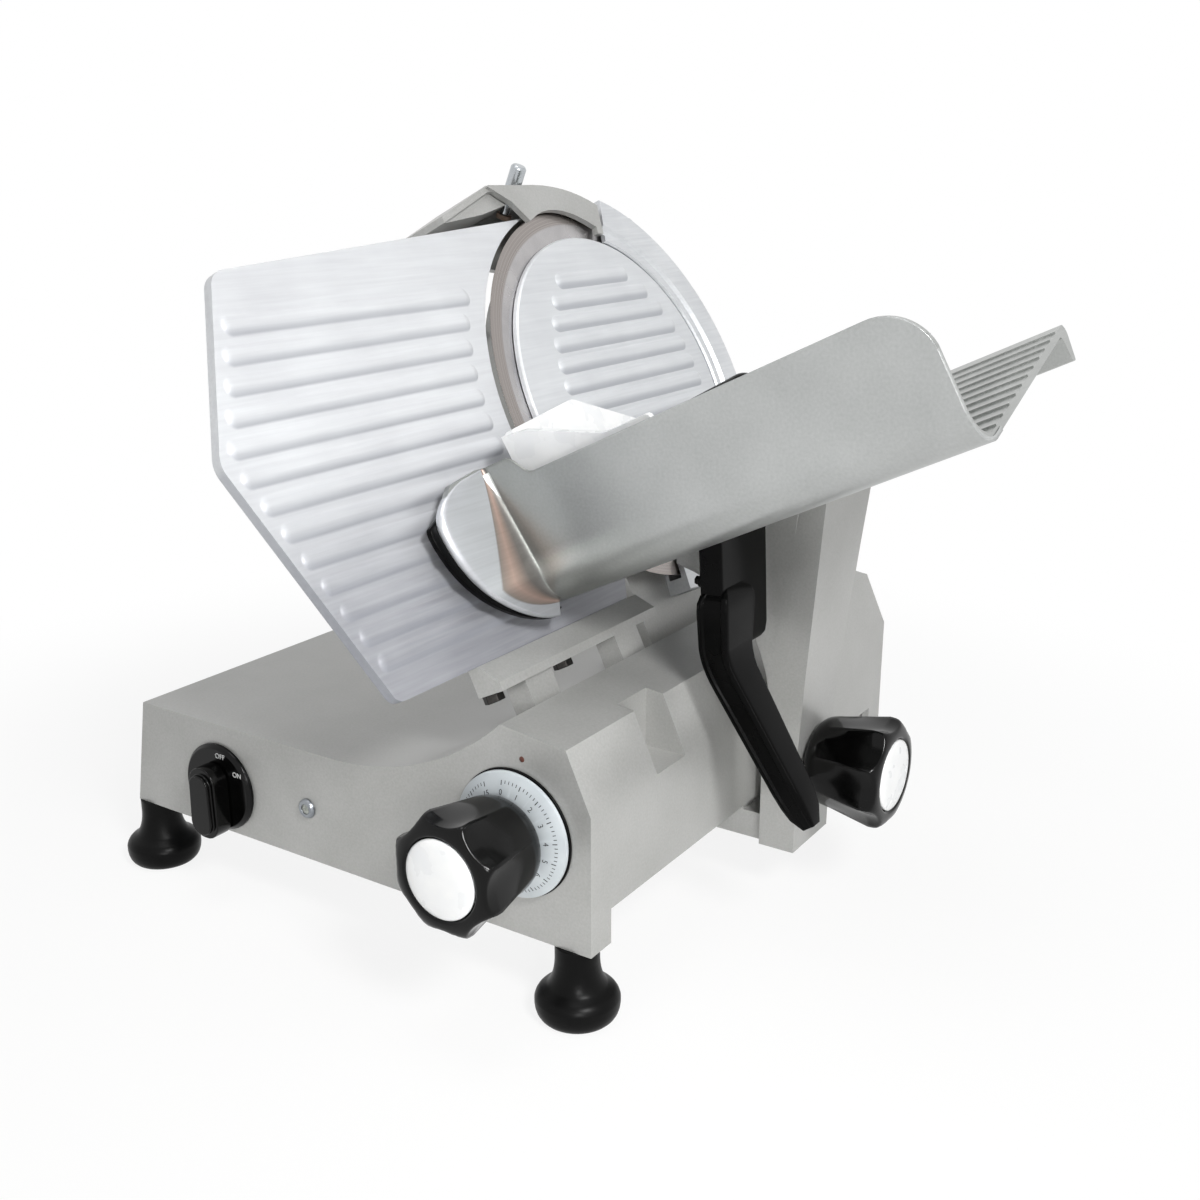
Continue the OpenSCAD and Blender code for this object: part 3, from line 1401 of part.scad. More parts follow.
// Moulded grip on the side plate
module pusher_handle() {
    at = [pusher_side + 1, tray_wall_h - 13, pusher_n0 + 66];
    color("#1b1b1c") slope() on_wall() difference() {
        translate(at + [2, 0, 0]) rotate([-grip_tilt, 0, 0]) {
            cylinder(r = grip_r, h = grip_len);
            translate([0, 0, grip_len]) sphere(r = grip_r);
            sphere(r = grip_r);
        }
        // Slot for the side plate
        pusher_side_plate();
    }
}

base_housing();
bottom_cover();
foot_front_left();
foot_front_right();
foot_rear_left();
foot_rear_right();
foot_screws();
cover_screws();
switch_base();
switch_lever();
pilot_bezel();
pilot_lens();
dial_gasket();
dial_ring();
dial_knob();
dial_cap();
dial_shaft();
scroll_cam();
cable_gland();
slide_rod();
guide_rod();
gauge_rods();
gauge_plate();
gauge_carrier();
gauge_bolts();
blade_support();
support_bolts();
ring_guard();
guard_pins();
bearing_front();
bearing_rear();
blade();
blade_hub();
blade_screws();
blade_pulley();
drive_belt();
belt_cover();
motor();
motor_saddle();
motor_shaft();
motor_pulley();
blade_cover();
cover_tie_rod();
cover_knob();
slice_deflector();
sharpener_cap();
hone_button();
hone_stone();
tray();
tray_guard();
carriage_arm();
slide_bushes();
carriage_handle();
lock_knob();
lock_cap();
pusher_brackets();
pusher_rod();
pusher_sleeve();
pusher_plate();
pusher_handle();
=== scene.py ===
import math

import bmesh
import bpy
from mathutils import Matrix, Vector


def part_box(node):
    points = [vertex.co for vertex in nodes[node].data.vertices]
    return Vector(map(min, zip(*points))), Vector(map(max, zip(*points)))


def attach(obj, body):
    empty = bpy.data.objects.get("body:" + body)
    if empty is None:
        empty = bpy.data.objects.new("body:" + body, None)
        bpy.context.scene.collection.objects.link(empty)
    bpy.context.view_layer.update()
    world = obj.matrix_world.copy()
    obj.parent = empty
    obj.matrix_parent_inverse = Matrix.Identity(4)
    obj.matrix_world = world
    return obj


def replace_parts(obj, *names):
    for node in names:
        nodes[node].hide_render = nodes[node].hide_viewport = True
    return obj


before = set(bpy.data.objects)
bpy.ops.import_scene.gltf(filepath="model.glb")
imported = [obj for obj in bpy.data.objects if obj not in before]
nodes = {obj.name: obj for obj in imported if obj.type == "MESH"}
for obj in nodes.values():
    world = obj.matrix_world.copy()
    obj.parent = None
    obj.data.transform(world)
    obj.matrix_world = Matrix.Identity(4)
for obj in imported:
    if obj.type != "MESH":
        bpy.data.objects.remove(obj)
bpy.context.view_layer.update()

scene = bpy.context.scene
MM = 0.001

# The slope frame of the blade: t runs up the blade plane, n square to it towards the tray.
# CUT is the foot of that plane, as x and z in millimetres.
TILT = math.radians(26)
CUT = (91.0, 180.0)


def on_slope(y, t, n):
    """A point of the slope frame, in millimetres, as a point of the part's frame in metres."""
    x = CUT[0] + n * math.cos(TILT) - t * math.sin(TILT)
    z = CUT[1] + n * math.sin(TILT) + t * math.cos(TILT)
    return Vector((x, y, z)) * MM


# Camera, floor and light

EYE_AT = (0.5274, -0.7174, 0.434)
EYE_WAY = Vector((-0.524, 0.798, -0.297))
SENSOR = 36
LENS = 42.36

eye = bpy.data.objects.new("eye", bpy.data.cameras.new("eye"))
scene.collection.objects.link(eye)
eye.location = EYE_AT
eye.rotation_mode = "QUATERNION"
eye.rotation_quaternion = EYE_WAY.to_track_quat("-Z", "Y")
eye.data.sensor_width = SENSOR
eye.data.lens = LENS
scene.camera = eye
scene.view_settings.view_transform = "Standard"


def linear(hex_colour):
    """An sRGB hex colour as linear red, green, blue and alpha."""
    channels = [int(hex_colour[i:i + 2], 16) / 255 for i in (1, 3, 5)]
    return [c / 12.92 if c <= 0.04045 else ((c + 0.055) / 1.055) ** 2.4 for c in channels] + [1]


def add(tree, kind, inputs=None, **settings):
    """Adds a shader node with its settings; an input is a value or the socket that feeds it."""
    made = tree.nodes.new(kind)
    for name, value in settings.items():
        setattr(made, name, value)
    for name, value in (inputs or {}).items():
        if isinstance(value, bpy.types.NodeSocket):
            tree.links.new(value, made.inputs[name])
        else:
            made.inputs[name].default_value = value
    return made


# Setting of a range that starts and ends gently
SOFTLY = {"interpolation_type": "SMOOTHSTEP"}


def seen_directly(tree):
    """One where a ray comes from the camera, from gloss or through glass."""
    path = add(tree, "ShaderNodeLightPath").outputs
    either = add(tree, "ShaderNodeMath", {0: path["Is Camera Ray"], 1: path["Is Glossy Ray"]},
                 operation="MAXIMUM")
    return add(tree, "ShaderNodeMath", {0: either.outputs[0], 1: path["Is Transmission Ray"]},
               operation="MAXIMUM").outputs[0]


FILL = 0.16
FLOOR_HALF = 8.0
# The floor's shadow fades between two distances from the middle, from this share of white to full white
SHADOW_NEAR, SHADOW_FAR = 0.25, 0.7
SHADOW_WHITE = 0.86

# White studio: the surroundings are white to the eye and in gloss, and light the rest more softly
studio = bpy.data.worlds.new("studio")
studio.use_nodes = True
studio.node_tree.nodes.clear()
tree = studio.node_tree
fill = add(tree, "ShaderNodeBackground", {"Color": linear("#eef2f6"), "Strength": FILL})
white = add(tree, "ShaderNodeBackground", {"Color": linear("#ffffff"), "Strength": 1.0})
mixed = add(tree, "ShaderNodeMixShader", {0: seen_directly(tree), 1: fill.outputs[0], 2: white.outputs[0]})
add(tree, "ShaderNodeOutputWorld", {"Surface": mixed.outputs[0]})
scene.world = studio

paper = bpy.data.materials.new("white_paper_floor")
paper.use_nodes = True
paper.node_tree.nodes.clear()
tree = paper.node_tree
sheet = add(tree, "ShaderNodeBsdfDiffuse", {"Color": linear("#f4f4f2")})
glow = add(tree, "ShaderNodeEmission", {"Color": linear("#ffffff"), "Strength": 1.0})
place = add(tree, "ShaderNodeNewGeometry").outputs["Position"]
away = add(tree, "ShaderNodeVectorMath", {0: place}, operation="LENGTH").outputs["Value"]
clean = add(tree, "ShaderNodeMapRange",
            {0: away, 1: SHADOW_NEAR, 2: SHADOW_FAR, 3: SHADOW_WHITE, 4: 1.0}, **SOFTLY)
share = add(tree, "ShaderNodeMath", {0: seen_directly(tree), 1: clean.outputs[0]}, operation="MULTIPLY")
mixed = add(tree, "ShaderNodeMixShader", {0: share.outputs[0], 1: sheet.outputs[0], 2: glow.outputs[0]})
add(tree, "ShaderNodeOutputMaterial", {"Surface": mixed.outputs[0]})

floor_mesh = bpy.data.meshes.new("floor")
corners = [(x * FLOOR_HALF, y * FLOOR_HALF, 0) for x, y in ((-1, -1), (1, -1), (1, 1), (-1, 1))]
floor_mesh.from_pydata(corners, [], [(0, 1, 2, 3)])
floor = bpy.data.objects.new("floor", floor_mesh)
scene.collection.objects.link(floor)
floor_mesh.materials.append(paper)


def softbox(name, place, aim, size, power, beam=180):
    """A square area lamp at a place, turned to a point, with a beam of some degrees."""
    lamp = bpy.data.lights.new(name, "AREA")
    lamp.size = size
    lamp.energy = power
    lamp.spread = math.radians(beam)
    made = bpy.data.objects.new(name, lamp)
    scene.collection.objects.link(made)
    made.location = place
    made.rotation_mode = "QUATERNION"
    made.rotation_quaternion = (Vector(aim) - Vector(place)).to_track_quat("-Z", "Y")


softbox("overhead_softbox", (0.1, -0.25, 1.9), (0, 0, 0.2), 0.7, 7.5)
softbox("side_softbox", (1.2, -0.75, 1.2), (0.1, 0, 0.15), 0.35, 22)
softbox("key_softbox", (0.85, -1.0, 0.42), (0.14, -0.2, 0.08), 0.3, 0.45, beam=50)

BLADE_MIDDLE = on_slope(61.5, 123.0, 0.0)
BLADE_AXIS = Vector((math.cos(TILT), 0.0, math.sin(TILT)))
UP_SLOPE = Vector((-math.sin(TILT), 0.0, math.cos(TILT)))
# Depth of the finest relief in a bump
RELIEF = 0.2 * MM

# Materials, each named for what it is made of and how its surface was made, or for the shade painted on it


def new_material(name):
    """An empty node material."""
    made = bpy.data.materials.new(name)
    made.use_nodes = True
    made.node_tree.nodes.clear()
    return made, made.node_tree


# Nearly all values of a grain lie in this range
GRAIN_LOW, GRAIN_HIGH = 0.3, 0.7

# Real blasting grit, brush lines and grinding lines are finer than 0.3 mm. They are drawn at 0.5 to 2.2 mm,
# which is as coarse as the render needs to show them.


def grain(tree, across_mm, along_mm=None, along=None, detail=3.0):
    """Noise with features of a size in millimetres, drawn out along one axis where that is given."""
    place = add(tree, "ShaderNodeTexCoord").outputs["Object"]
    scale = [1 / (across_mm * MM)] * 3
    if along_mm:
        scale["XYZ".index(along)] = 1 / (along_mm * MM)
    mapped = add(tree, "ShaderNodeMapping", {"Vector": place, "Scale": scale})
    noise = add(tree, "ShaderNodeTexNoise", {"Vector": mapped.outputs[0], "Scale": 1.0, "Detail": detail})
    return noise.outputs["Fac"]


def clouded(tree, cloud_mm, fine):
    """Unevenness of a worked surface: broad clouds of a size in millimetres, under its fine grain."""
    both = add(tree, "ShaderNodeMath", {0: grain(tree, cloud_mm), 1: fine}, operation="ADD")
    return add(tree, "ShaderNodeMath", {0: both.outputs[0], 1: 0.5}, operation="MULTIPLY").outputs[0]


def shades(tree, uneven, dark, light):
    """Colour that wanders between two shades as the surface is uneven."""
    wander = add(tree, "ShaderNodeMapRange", {0: uneven, 1: GRAIN_LOW, 2: GRAIN_HIGH})
    return add(tree, "ShaderNodeMix", {0: wander.outputs[0], 6: linear(dark), 7: linear(light)},
               data_type="RGBA").outputs[2]


def worked_surface(tree, uneven, rough, fine, bump, inputs):
    """Ends a material: its roughness wanders as it is uneven, and its fine grain stands in relief."""
    low, high = rough
    wander = add(tree, "ShaderNodeMapRange", {0: uneven, 1: GRAIN_LOW, 2: GRAIN_HIGH, 3: low, 4: high})
    relief = add(tree, "ShaderNodeBump", {"Height": fine, "Strength": bump, "Distance": RELIEF})
    shader = add(tree, "ShaderNodeBsdfPrincipled",
                 {"Roughness": wander.outputs[0], "Normal": relief.outputs[0], **inputs})
    add(tree, "ShaderNodeOutputMaterial", {"Surface": shader.outputs[0]})


def metal(name, dark, light, rough, brush=None, cloud_mm=45, bump=0.05, grit_mm=0.9, bare=1.0):
    """Bare metal: clouded tone, uneven roughness and the fine relief that the tool left."""
    made, tree = new_material(name)
    fine = grain(tree, *brush) if brush else grain(tree, grit_mm)
    uneven = clouded(tree, cloud_mm, fine)
    worked_surface(tree, uneven, rough, fine, bump,
                   {"Base Color": shades(tree, uneven, dark, light), "Metallic": bare})
    return made


def plastic(name, dark, light, rough, bump=0.04, grit_mm=0.8, gloss=0.5, cloud_mm=18):
    """Moulded plastic or rubber: nearly even colour, with the texture of the mould."""
    made, tree = new_material(name)
    cloud = grain(tree, cloud_mm)
    worked_surface(tree, cloud, rough, grain(tree, grit_mm), bump,
                   {"Base Color": shades(tree, cloud, dark, light), "Specular IOR Level": gloss})
    return made


# Sand-cast aluminium, linished and bead blasted: a soft pale grey with a fine even sparkle
cast_aluminium = metal("cast_aluminium_blasted", "#a2a29f", "#b6b6b4", (0.3, 0.44),
                       grit_mm=1.3, bump=0.06, bare=0.35)
# Cast aluminium tray, satin polished along its length: mid grey, with long faint streaks
tray_aluminium = metal("cast_aluminium_satin", "#a4a6a4", "#babcba", (0.3, 0.42),
                       brush=(1.6, 60, "Y"), bump=0.04)
# Cast aluminium, polished by hand: bright, with broad soft highlights
polished_aluminium = metal("cast_aluminium_polished", "#c6c8cb", "#dddfe1", (0.36, 0.48),
                           brush=(1.8, 50, "Y"), bump=0.03, bare=0.7)
# Radii between which the blade's hollow passes into its ground edge
GROUND_FROM, GROUND_TO = 114.5 * MM, 116.5 * MM
GRIND_LINE = 0.7 * MM


def blade_metal():
    """Ground blade steel: round grinding lines pull each highlight into a ray from the middle."""
    made, tree = new_material("blade_steel_ground")
    place = add(tree, "ShaderNodeTexCoord").outputs["Object"]
    arm = add(tree, "ShaderNodeVectorMath", {0: place, 1: BLADE_MIDDLE}, operation="SUBTRACT").outputs[0]
    turn = add(tree, "ShaderNodeVectorMath", {0: BLADE_AXIS, 1: arm}, operation="CROSS_PRODUCT").outputs[0]
    radius = add(tree, "ShaderNodeVectorMath", {0: turn}, operation="LENGTH").outputs["Value"]
    lines = add(tree, "ShaderNodeTexNoise", {"W": radius, "Scale": 1 / GRIND_LINE, "Detail": 2.0},
                noise_dimensions="1D").outputs["Fac"]
    cloud = grain(tree, 30)
    edge = add(tree, "ShaderNodeMapRange", {0: radius, 1: GROUND_FROM, 2: GROUND_TO}, **SOFTLY)
    hollow = shades(tree, cloud, "#a8a6a7", "#bfbdbd")
    ground = shades(tree, lines, "#938d89", "#a7a19e")
    colour = add(tree, "ShaderNodeMix", {0: edge.outputs[0], 6: hollow, 7: ground}, data_type="RGBA")
    worked_surface(tree, cloud, (0.2, 0.3), lines, 0.04,
                   {"Base Color": colour.outputs[2], "Metallic": 1.0, "Anisotropic": 0.7, "Tangent": turn})
    return made


# Hardened blade steel: pale polished hollow inside a browner ground edge
blade_steel = blade_metal()
# Heights above the plate's foot between which the painted shade at its foot fades out
FOOT_SHADE_TOP, FOOT_SHADE_END = 0.02, 0.15


def ribbed_casting(name, painted_foot_shades, top_shades):
    """Ribbed face: pale, with painted shade towards its foot and under each rib, brushed along the ribs."""
    made, tree = new_material(name)
    where = add(tree, "ShaderNodeTexCoord").outputs
    lean = add(tree, "ShaderNodeVectorMath", {0: where["Normal"], 1: UP_SLOPE}, operation="DOT_PRODUCT")
    # Painted shade on faces that lean downwards, under each rib
    under = add(tree, "ShaderNodeMapRange",
                {0: lean.outputs["Value"], 1: -0.5, 2: 0.08, 3: 0.55, 4: 0.0}, **SOFTLY)
    up = add(tree, "ShaderNodeVectorMath", {0: where["Object"], 1: UP_SLOPE}, operation="DOT_PRODUCT")
    foot = UP_SLOPE.dot(on_slope(0, 0, 0))
    # Painted shade towards the plate's foot, fading out above it
    foot_shade_fade = add(tree, "ShaderNodeMapRange",
                {0: up.outputs["Value"], 1: foot + FOOT_SHADE_TOP, 2: foot + FOOT_SHADE_END}, **SOFTLY)
    brushed = grain(tree, 2.2, 55, "Y")
    uneven = clouded(tree, 50, brushed)
    low, high = shades(tree, uneven, *painted_foot_shades), shades(tree, uneven, *top_shades)
    face = add(tree, "ShaderNodeMix", {0: foot_shade_fade.outputs[0], 6: low, 7: high}, data_type="RGBA")
    colour = add(tree, "ShaderNodeMix", {0: under.outputs[0], 6: face.outputs[2], 7: linear("#9497a0")},
                 data_type="RGBA")
    worked_surface(tree, uneven, (0.34, 0.46), brushed, 0.03,
                   {"Base Color": colour.outputs[2], "Metallic": 0.25})
    return made


# Cast aluminium gauge plate: pale, with painted shade at its foot and under the ribs
plate_aluminium = ribbed_casting("cast_aluminium_foot_shaded", ("#8a8b91", "#a2a3a8"), ("#cccdd0", "#dddfe1"))
# Cast aluminium blade cover, polished: as pale as the plate's top, with painted shade under its ribs alone
cover_aluminium = ribbed_casting("cast_aluminium_buffed", ("#c0c2c5", "#d3d5d7"), ("#c6c8cb", "#dadcde"))


def tray_casting():
    """Satin tray, polished flange: painted reflection and highlight in the fold, painted shade and glint on
    the wall.
    """
    made, tree = new_material("cast_aluminium_linished")
    fold, run, rise = [add(tree, "ShaderNodeAttribute", attribute_name=name).outputs["Fac"]
                       for name in ("fold", "run", "rise")]
    streak = grain(tree, 1.6, 60, "Y")
    uneven = clouded(tree, 40, streak)
    # Painted reflection across the hollow, brown-grey and dark, then a soft painted highlight line at the
    # fold
    hollow = add(tree, "ShaderNodeValToRGB", {0: fold})
    stops = [(0.0, "#c8cace"), (0.02, "#b8b9bb"), (0.07, "#958b85"), (0.4, "#b89f93"),
             (0.75, "#74706c"), (0.95, "#73726f"), (0.985, "#8d8f8b"), (1.0, "#868885")]
    ramp = hollow.color_ramp
    while len(ramp.elements) < len(stops):
        ramp.elements.new(0.5)
    for element, (place, shade) in zip(ramp.elements, stops):
        element.position = place
        element.color = linear(shade)
    # Painted shade on the wall, darkest beside the flange and fading along the tray
    along = add(tree, "ShaderNodeMapRange", {0: run, 1: 0.0, 2: 110.0}, **SOFTLY)
    wall = add(tree, "ShaderNodeMix", {0: along.outputs[0], 6: linear("#848683"), 7: linear("#bcbebd")},
               data_type="RGBA")
    # A soft painted glint where the wall turns into the bend, near the flange
    glint_up = add(tree, "ShaderNodeMapRange", {0: rise, 1: -8.0, 2: 2.0}, **SOFTLY)
    glint_top = add(tree, "ShaderNodeMapRange", {0: rise, 1: 2.0, 2: 13.0, 3: 1.0, 4: 0.0}, **SOFTLY)
    glint_run = add(tree, "ShaderNodeMapRange", {0: run, 1: 20.0, 2: 90.0, 3: 1.0, 4: 0.0}, **SOFTLY)
    line = add(tree, "ShaderNodeMath", {0: glint_up.outputs[0], 1: glint_top.outputs[0]},
               operation="MULTIPLY")
    glint = add(tree, "ShaderNodeMath", {0: line.outputs[0], 1: glint_run.outputs[0]}, operation="MULTIPLY")
    wall = add(tree, "ShaderNodeMix", {0: glint.outputs[0], 6: wall.outputs[2], 7: linear("#b9bcb8")},
               data_type="RGBA")
    on_wall = add(tree, "ShaderNodeMapRange", {0: fold, 1: 0.995, 2: 1.0}, **SOFTLY)
    plain = add(tree, "ShaderNodeMix", {0: on_wall.outputs[0], 6: hollow.outputs[0], 7: wall.outputs[2]},
                data_type="RGBA")
    streaks = shades(tree, uneven, "#e6e6e6", "#ffffff")
    colour = add(tree, "ShaderNodeMix", {0: 1.0, 6: plain.outputs[2], 7: streaks},
                 data_type="RGBA", blend_type="MULTIPLY")
    worked_surface(tree, uneven, (0.28, 0.42), streak, 0.04,
                   {"Base Color": colour.outputs[2], "Metallic": 0.65})
    return made


# Cast aluminium tray: bright polished flange, painted brown-grey reflection in the hollow, a soft painted
# highlight at the fold and a satin wall with painted shade near the flange
linished_aluminium = tray_casting()
# Ground steel shafts: even and shiny along their length
machined_steel = metal("machine_steel_ground", "#a9adb1", "#c3c7ca", (0.16, 0.26),
                       brush=(0.9, 12, "Y"), bump=0.03)
# Rolled steel sheet, brushed one way: fine long lines under a cool sheen
sheet_steel = metal("sheet_steel_brushed", "#a2a5a8", "#bdbfc2", (0.3, 0.42), brush=(1.2, 60, "X"))
# Blackened hex bolts: dark brown-grey heads
blackened_steel = metal("blackened_steel", "#2c2b2a", "#43413f", (0.3, 0.44), cloud_mm=6, grit_mm=0.7)
# Zinc-plated fasteners: dull silver with a slight blue cast
fastener_steel = metal("zinc_plated_steel", "#80848a", "#a0a4a8", (0.28, 0.4), cloud_mm=6, grit_mm=0.7)
# Sintered bronze bushes: dull brown gold with an open grain
sintered_bronze = metal("sintered_bronze", "#94683c", "#b3844f", (0.4, 0.55),
                        cloud_mm=5, grit_mm=0.6, bump=0.1)
# Moulded rubber: matt black with a fine grain
black_rubber = plastic("moulded_rubber", "#060606", "#0b0b0b", (0.3, 0.42), bump=0.08, gloss=0.1)
# Compression-moulded phenolic: deep black with a wet gloss
black_gloss = plastic("phenolic_gloss", "#030303", "#060606", (0.1, 0.18), bump=0.015, gloss=0.2)
# Moulded nylon with a fine spark-eroded texture: black with a quiet sheen
black_satin = plastic("nylon_satin", "#040404", "#080808", (0.15, 0.24), grit_mm=0.7, gloss=0.06)
# White ABS: clean, slightly cool white with a soft gloss
white_plastic = plastic("abs_white", "#e8e9ea", "#f2f2f1", (0.24, 0.34), bump=0.02)
# Silver-white enamel of the dial: pale and even, with a low shine
dial_enamel = plastic("dial_enamel_silver", "#b3b9bd", "#c3c9cc", (0.28, 0.38), bump=0.02)
# Printing inks and index paint: flat marks on a shinier ground
black_ink = plastic("print_ink_black", "#17181a", "#26272a", (0.5, 0.6), bump=0.02)
white_ink = plastic("print_ink_white", "#dcdddc", "#efefee", (0.5, 0.6), bump=0.02)
brown_paint = plastic("index_paint_brown", "#3c2019", "#5a3024", (0.4, 0.5), bump=0.02)
# Sprayed motor enamel: mid grey with a slight orange peel
motor_paint = plastic("motor_enamel_grey", "#565b5f", "#666b6e", (0.34, 0.46), bump=0.08)
# Bonded grit of the sharpening stone: rough brown without shine
hone_grit = plastic("bonded_grit", "#6b5a4e", "#8d7a6b", (0.8, 0.95), bump=0.5, grit_mm=0.5)


def lamp_glass():
    """Moulded clear lens with a grey body behind it."""
    made, tree = new_material("lamp_lens_moulded")
    cloud = grain(tree, 3)
    wander = add(tree, "ShaderNodeMapRange", {0: cloud, 1: GRAIN_LOW, 2: GRAIN_HIGH, 3: 0.08, 4: 0.16})
    shader = add(tree, "ShaderNodeBsdfPrincipled", {
        "Base Color": shades(tree, cloud, "#7c807a", "#a3a69f"),
        "Roughness": wander.outputs[0],
        "IOR": 1.49,
        "Coat Weight": 0.5})
    add(tree, "ShaderNodeOutputMaterial", {"Surface": shader.outputs[0]})
    return made


# Clear lamp lens: a small glossy grey bead
lamp_lens = lamp_glass()

finish = {
    cast_aluminium: ["base_housing", "blade_support", "belt_cover", "sharpener_cap", "carriage_arm",
                     "gauge_carrier", "motor_saddle", "pusher_brackets"],
    tray_aluminium: ["tray"],
    plate_aluminium: ["gauge_plate"],
    polished_aluminium: ["ring_guard"],
    cover_aluminium: ["blade_cover"],
    blackened_steel: ["gauge_bolts"],
    blade_steel: ["blade"],
    machined_steel: ["dial_shaft", "scroll_cam", "slide_rod", "guide_rod", "gauge_rods", "bearing_front",
                     "bearing_rear", "blade_hub", "blade_pulley", "motor_shaft", "motor_pulley",
                     "cover_tie_rod", "hone_button", "pusher_rod", "pusher_sleeve", "guard_pins"],
    sheet_steel: ["bottom_cover", "slice_deflector"],
    fastener_steel: ["foot_screws", "cover_screws", "support_bolts", "blade_screws", "pilot_bezel"],
    sintered_bronze: ["slide_bushes"],
    black_rubber: ["foot_front_left", "foot_front_right", "foot_rear_left", "foot_rear_right", "drive_belt",
                   "dial_gasket", "cable_gland"],
    black_gloss: ["dial_knob", "lock_knob", "cover_knob", "switch_base", "switch_lever"],
    black_satin: ["tray_guard", "carriage_handle", "pusher_handle"],
    white_plastic: ["dial_cap", "lock_cap", "pusher_plate"],
    dial_enamel: ["dial_ring"],
    lamp_lens: ["pilot_lens"],
    motor_paint: ["motor"],
    hone_grit: ["hone_stone"],
}
# Width in millimetres of the rounding along the edges of a piece
edge_round = {"base_housing": 2.2, "carriage_arm": 1.6, "gauge_plate": 0.9, "ring_guard": 0.5, "tray": 1.0,
              "sharpener_cap": 0.8, "carriage_handle": 2.5, "switch_lever": 1.2, "pusher_plate": 0.8,
              "blade_support": 1.2, "belt_cover": 1.2, "blade": 0.0, "blade_cover": 0.3, "bottom_cover": 0.3,
              "scroll_cam": 0.2, "slice_deflector": 0.2, "drive_belt": 0.3, "tray_guard": 0.6,
              "pusher_handle": 0.6}
PLAIN_ROUND = 0.4


def round_edges(solid, width):
    """Joins split points, rounds the edges by a width in millimetres and shades the faces evenly."""
    weld = solid.modifiers.new("weld", "WELD")
    weld.merge_threshold = 1e-6
    flat = solid.modifiers.new("flat", "DECIMATE")
    flat.decimate_type = "DISSOLVE"
    flat.angle_limit = math.radians(0.6)
    if width:
        round_over = solid.modifiers.new("round", "BEVEL")
        round_over.width = width * MM
        round_over.segments = 3
        round_over.limit_method = "ANGLE"
        round_over.angle_limit = math.radians(32)
        round_over.use_clamp_overlap = True
        round_over.harden_normals = False
    shade = solid.modifiers.new("shade", "WEIGHTED_NORMAL")
    shade.weight = 60
    shade.keep_sharp = False


for material, names in finish.items():
    for name in names:
        nodes[name].data.materials.clear()
        nodes[name].data.materials.append(material)
        round_edges(nodes[name], edge_round.get(name, PLAIN_ROUND))


def new_piece(name, mesh, material, body):
    """A mesh as a piece that rides on a body."""
    made = bpy.data.objects.new(name, mesh)
    scene.collection.objects.link(made)
    mesh.materials.append(material)
    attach(made, body)
    return made


# Outside of the tray, where the guard flange runs into the wall in a growing hollow

CORNER = Vector((-108.5, 15.0))
LEAN = math.radians(8)
FLOOR_RISE = math.radians(13.5)
UP_WALL = Vector((-math.sin(LEAN), math.cos(LEAN)))
OUT_WALL = Vector((-math.cos(LEAN), -math.sin(LEAN)))
ALONG_FLOOR = Vector((math.cos(FLOOR_RISE), math.sin(FLOOR_RISE)))
UNDER_FLOOR = Vector((math.sin(FLOOR_RISE), -math.cos(FLOOR_RISE)))
WALL_OUT = 4.3
BEND = 17.0
BEND_RUN = BEND / math.tan((math.pi / 2 + LEAN - FLOOR_RISE) / 2)
WALL_H, EAR_H = 72.2, 84.3
EAR_END, EAR_SLOPE = 32.0, 12.0
TRAY_END = 274.3
END_R = 26.0
FLANGE_N = 15.4
FLANGE_TH = 4.2
# Where the flange is narrower than RUN_OUT, its face falls back by up to FLANGE_DROP
RUN_OUT = 10.0
FLANGE_DROP = 8.6
# Width of the hollow at the top of the wall, and how much it grows to the bend
HOLLOW_TOP, HOLLOW_GROWTH = 2.0, 32.0
# Length of the wall beside the hollow that is divided finely
NEAR_RUN = 40.0
TURN_IN = 2.5


def bezier(a, b, c, steps):
    """Points along a curve from a to c, pulled to b."""
    points = []
    for i in range(steps + 1):
        u = i / steps
        points.append(Vector(a) * (1 - u) ** 2 + Vector(b) * 2 * u * (1 - u) + Vector(c) * u ** 2)
    return points


def flange_outline():
    """Edge of the guard flange from the ear to the bend, in y and t."""
    curve = bezier((-12, 98.3), (-34, 97.4), (-48, 90.5), 8)
    curve += bezier((-48, 90.5), (-62, 83.5), (-63, 74), 8)[1:]
    curve += bezier((-63, 74), (-60, 37), (-24, 17), 14)[1:]
    curve += bezier((-24, 17), (-10, 9.5), (2, 8), 6)[1:]
    return [Vector((CORNER.x + p.x, p.y)) for p in curve]


def reach_to(outline, start, way):
    """How far a line from a point runs before it meets an outline; zero where it misses."""
    best = 0.0
    for a, b in zip(outline, outline[1:]):
        side = b - a
        cross = way.x * side.y - way.y * side.x
        if abs(cross) < 1e-9:
            continue
        gap = a - start
        far = (gap.x * side.y - gap.y * side.x) / cross
        part = (gap.x * way.y - gap.y * way.x) / cross
        if -0.001 <= part <= 1.001 and far > best:
            best = far
    return best


def soft(x):
    """Smooth step from 0 to 1."""
    x = max(0.0, min(1.0, x))
    return x * x * (3 - 2 * x)


def wall_top(n):
    """Height of the wall's upper edge: ear, dip and straight run, then the round corner at the end."""
    if n > TRAY_END - END_R:
        return WALL_H - END_R + math.sqrt(max(0.0, END_R ** 2 - (n - TRAY_END + END_R) ** 2))
    return EAR_H - (EAR_H - WALL_H) * soft((n - EAR_END) / EAR_SLOPE)


WALL_ROWS, BEND_ROWS = 30, 20
ARC_STEPS, FACE_STEPS = 16, 8
NEAR_STEPS, FAR_STEPS, END_STEPS = 14, 8, 10
BEND_MIDDLE = CORNER - OUT_WALL * BEND + UP_WALL * BEND_RUN
FIRST_TURN, LAST_TURN = math.pi + LEAN, 1.5 * math.pi + FLOOR_RISE


